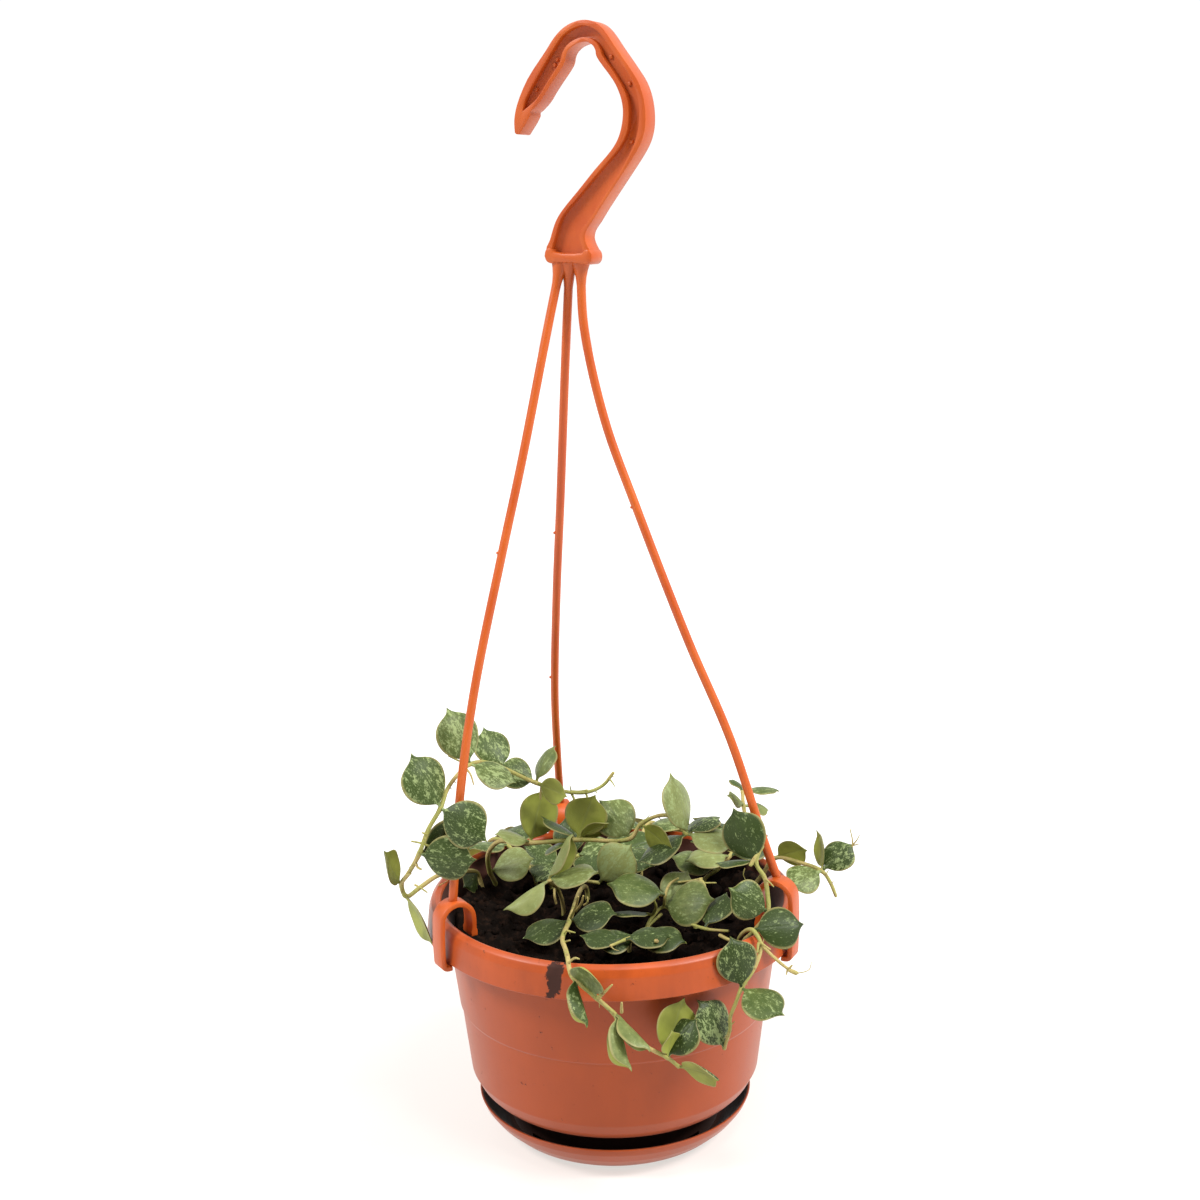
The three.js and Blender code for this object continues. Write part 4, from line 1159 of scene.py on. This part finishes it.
def stage_floor(looks):
    """A pale studio floor that glows as if lit, with painted shade near the pot, whiter further out.
    """
    finish = Finish("floor")
    place = finish.place()
    grain = finish.noise(place, 0.02, 2)
    colour = tuple(looks.floor)
    base = finish.mix(grain * 0.3, colour, tinted(colour, 0.97, 0.97, 0.97))
    x, y, _ = finish.parts_of(place)
    far = finish.steps((x**2 + y**2) ** 0.5, 60, 400)
    # Painted shade: the glow is dimmer and warmer near the pot, for its shadow and its warm bounce
    # light.
    glow_and_shade = finish.mix(far, (0.68, 0.65, 0.62), (1, 1, 1))
    material = glowing(finish, {"Base Color": base, "Roughness": 0.6, "Emission Color": glow_and_shade})
    bm = bmesh.new()
    bmesh.ops.create_grid(bm, x_segments=8, y_segments=8, size=STAGE["floor"])
    staged("floor", bm, material).visible_shadow = False


def backdrop():
    """A white backdrop all round, which is seen and mirrored but doesn't light the plant."""
    white = {"Base Color": (0, 0, 0, 1), "Emission Color": (1, 1, 1, 1)}
    material = glowing(Finish("backdrop"), white)
    bm = bmesh.new()
    bmesh.ops.create_icosphere(bm, subdivisions=3, radius=STAGE["backdrop"])
    made = staged("backdrop", bm, material)
    made.visible_diffuse = made.visible_shadow = False


def flag():
    """A dark flag behind the camera, out of its sight, which keeps glare off the front."""
    finish = Finish("flag")
    finish.surface({"Base Color": (0.02, 0.02, 0.02, 1), "Roughness": 1})
    bm = bmesh.new()
    stands = Matrix.Translation(STAGE["flag"]) @ Matrix.Rotation(math.radians(90), 4, "X")
    bmesh.ops.create_grid(bm, x_segments=2, y_segments=2, size=1, matrix=stands)
    staged("flag", bm, finish.material).visible_camera = False


def lamps(scene, looks):
    """Even light from all round, and three large soft lamps."""
    scene.world = bpy.data.worlds.new("studio")
    scene.world.use_nodes = True
    background = scene.world.node_tree.nodes["Background"]
    background.inputs["Color"].default_value = (1, 1, 1, 1)
    background.inputs["Strength"].default_value = 0.5
    for name, (spot, size, share) in LAMPS.items():
        lamp = bpy.data.lights.new(name, "AREA")
        lamp.energy = looks.key * share
        lamp.size = size
        light = bpy.data.objects.new(name, lamp)
        aim = (Vector(AIM) - Vector(spot)).to_track_quat("-Z", "Y").to_matrix().to_4x4()
        light.matrix_world = Matrix.Translation(spot) @ aim
        scene.collection.objects.link(light)


def camera(scene, looks):
    """A camera where the photograph was taken from."""
    lens = bpy.data.cameras.new("camera")
    lens.lens = looks.lens
    lens.sensor_width = 36
    lens.clip_start = 0.01
    eye = bpy.data.objects.new("camera", lens)
    turn = Matrix.Rotation(math.radians(EYE["left"]), 4, "Z")
    turn @= Matrix.Rotation(math.radians(90 - EYE["down"]), 4, "X")
    turn @= Matrix.Rotation(math.radians(EYE["tilt"]), 4, "Z")
    eye.matrix_world = Matrix.Translation(EYE["place"]) @ turn
    scene.collection.objects.link(eye)
    scene.camera = eye


class HOYA_OT_saucer(bpy.types.Operator):
    """Make the drip saucer"""

    bl_idname = "hoya.saucer"
    bl_label = "Drip saucer"

    def execute(self, context):
        looks = context.scene.pot_looks
        bm = turned(SAUCER_PROFILE, looks.edge_round / MM, looks.facets)
        skins = [skin("terracotta_plastic", pot_plastic, looks)]
        piece("drip_saucer", bm, skins, ["saucer"], 40)
        return {"FINISHED"}


class HOYA_OT_pot(bpy.types.Operator):
    """Make the pot with its rim band, ring foot and drain holes"""

    bl_idname = "hoya.pot"
    bl_label = "Pot"

    def execute(self, context):
        looks = context.scene.pot_looks
        bm = pot_shape(looks)
        skins = [skin("terracotta_plastic", pot_plastic, looks)]
        piece("pot_moulding", bm, skins, ["pot"], 40)
        return {"FINISHED"}


class HOYA_OT_soil(bpy.types.Operator):
    """Make the potting soil with its crumbs"""

    bl_idname = "hoya.soil"
    bl_label = "Soil"

    def execute(self, context):
        looks = context.scene.soil_looks
        bm = soil_shape(looks)
        piece("soil_filling", bm, [skin("potting_soil", potting_soil, looks)], ["soil"])
        return {"FINISHED"}


class HOYA_OT_hanger(bpy.types.Operator):
    """Make the hanger with its hook, arms and clips"""

    bl_idname = "hoya.hanger"
    bl_label = "Hanger"

    def execute(self, context):
        looks = context.scene.hanger_looks
        bm = hanger_shape(looks)
        skins = [skin("orange_plastic", hanger_plastic, looks)]
        piece("hanger_moulding", bm, skins, ["hanger"], 40)
        return {"FINISHED"}


class HOYA_OT_stems(bpy.types.Operator):
    """Make the leafy stems"""

    bl_idname = "hoya.stems"
    bl_label = "Leafy stems"

    def execute(self, context):
        looks = context.scene.foliage_looks
        skins = [skin("stem_skin", stem_skin, looks), skin("leaf_skin", leaf_skin, looks)]
        for number, (node, shape) in enumerate(STEMS.items()):
            bm = bmesh.new()
            leafy_stem(bm, shape, LEAF_TONES_AND_SHADE.get(node, {}), TWIGS.get(node, []), number, looks)
            made = piece(node.replace("vine", "stem"), bm, skins, [node])
            smooth = made.modifiers.new("Smooth", "SUBSURF")
            smooth.levels = smooth.render_levels = 1
        return {"FINISHED"}


class HOYA_OT_stage(bpy.types.Operator):
    """Make the floor, the lights and the camera"""

    bl_idname = "hoya.stage"
    bl_label = "Floor, lights and camera"

    def execute(self, context):
        looks = context.scene.stage_looks
        stage_floor(looks)
        backdrop()
        flag()
        lamps(context.scene, looks)
        camera(context.scene, looks)
        context.scene.view_settings.view_transform = "Standard"
        return {"FINISHED"}


class HOYA_PT_panel(bpy.types.Panel):
    """The pieces of the plant, in the order in which they are made"""

    bl_label = "Potted hoya"
    bl_idname = "HOYA_PT_panel"
    bl_space_type = "VIEW_3D"
    bl_region_type = "UI"
    bl_category = "Hoya"

    def draw(self, context):
        for group in GROUPS:
            looks = getattr(context.scene, group)
            box = self.layout.box()
            for key in looks.__annotations__:
                box.prop(looks, key)
        for operator in OPERATORS:
            self.layout.operator(operator.bl_idname)


GROUPS = {
    "pot_looks": PotLooks,
    "hanger_looks": HangerLooks,
    "soil_looks": SoilLooks,
    "foliage_looks": FoliageLooks,
    "stage_looks": StageLooks,
}
OPERATORS = (
    HOYA_OT_saucer,
    HOYA_OT_pot,
    HOYA_OT_soil,
    HOYA_OT_hanger,
    HOYA_OT_stems,
    HOYA_OT_stage,
)


def register():
    for one in (*GROUPS.values(), *OPERATORS, HOYA_PT_panel):
        bpy.utils.register_class(one)
    for name, group in GROUPS.items():
        setattr(bpy.types.Scene, name, PointerProperty(type=group))


def unregister():
    for name in GROUPS:
        delattr(bpy.types.Scene, name)
    for one in (HOYA_PT_panel, *reversed(OPERATORS), *reversed(GROUPS.values())):
        bpy.utils.unregister_class(one)


def main():
    register()
    bpy.ops.hoya.saucer()
    bpy.ops.hoya.pot()
    bpy.ops.hoya.soil()
    bpy.ops.hoya.hanger()
    bpy.ops.hoya.stems()
    bpy.ops.hoya.stage()


if __name__ == "__main__":
    main()
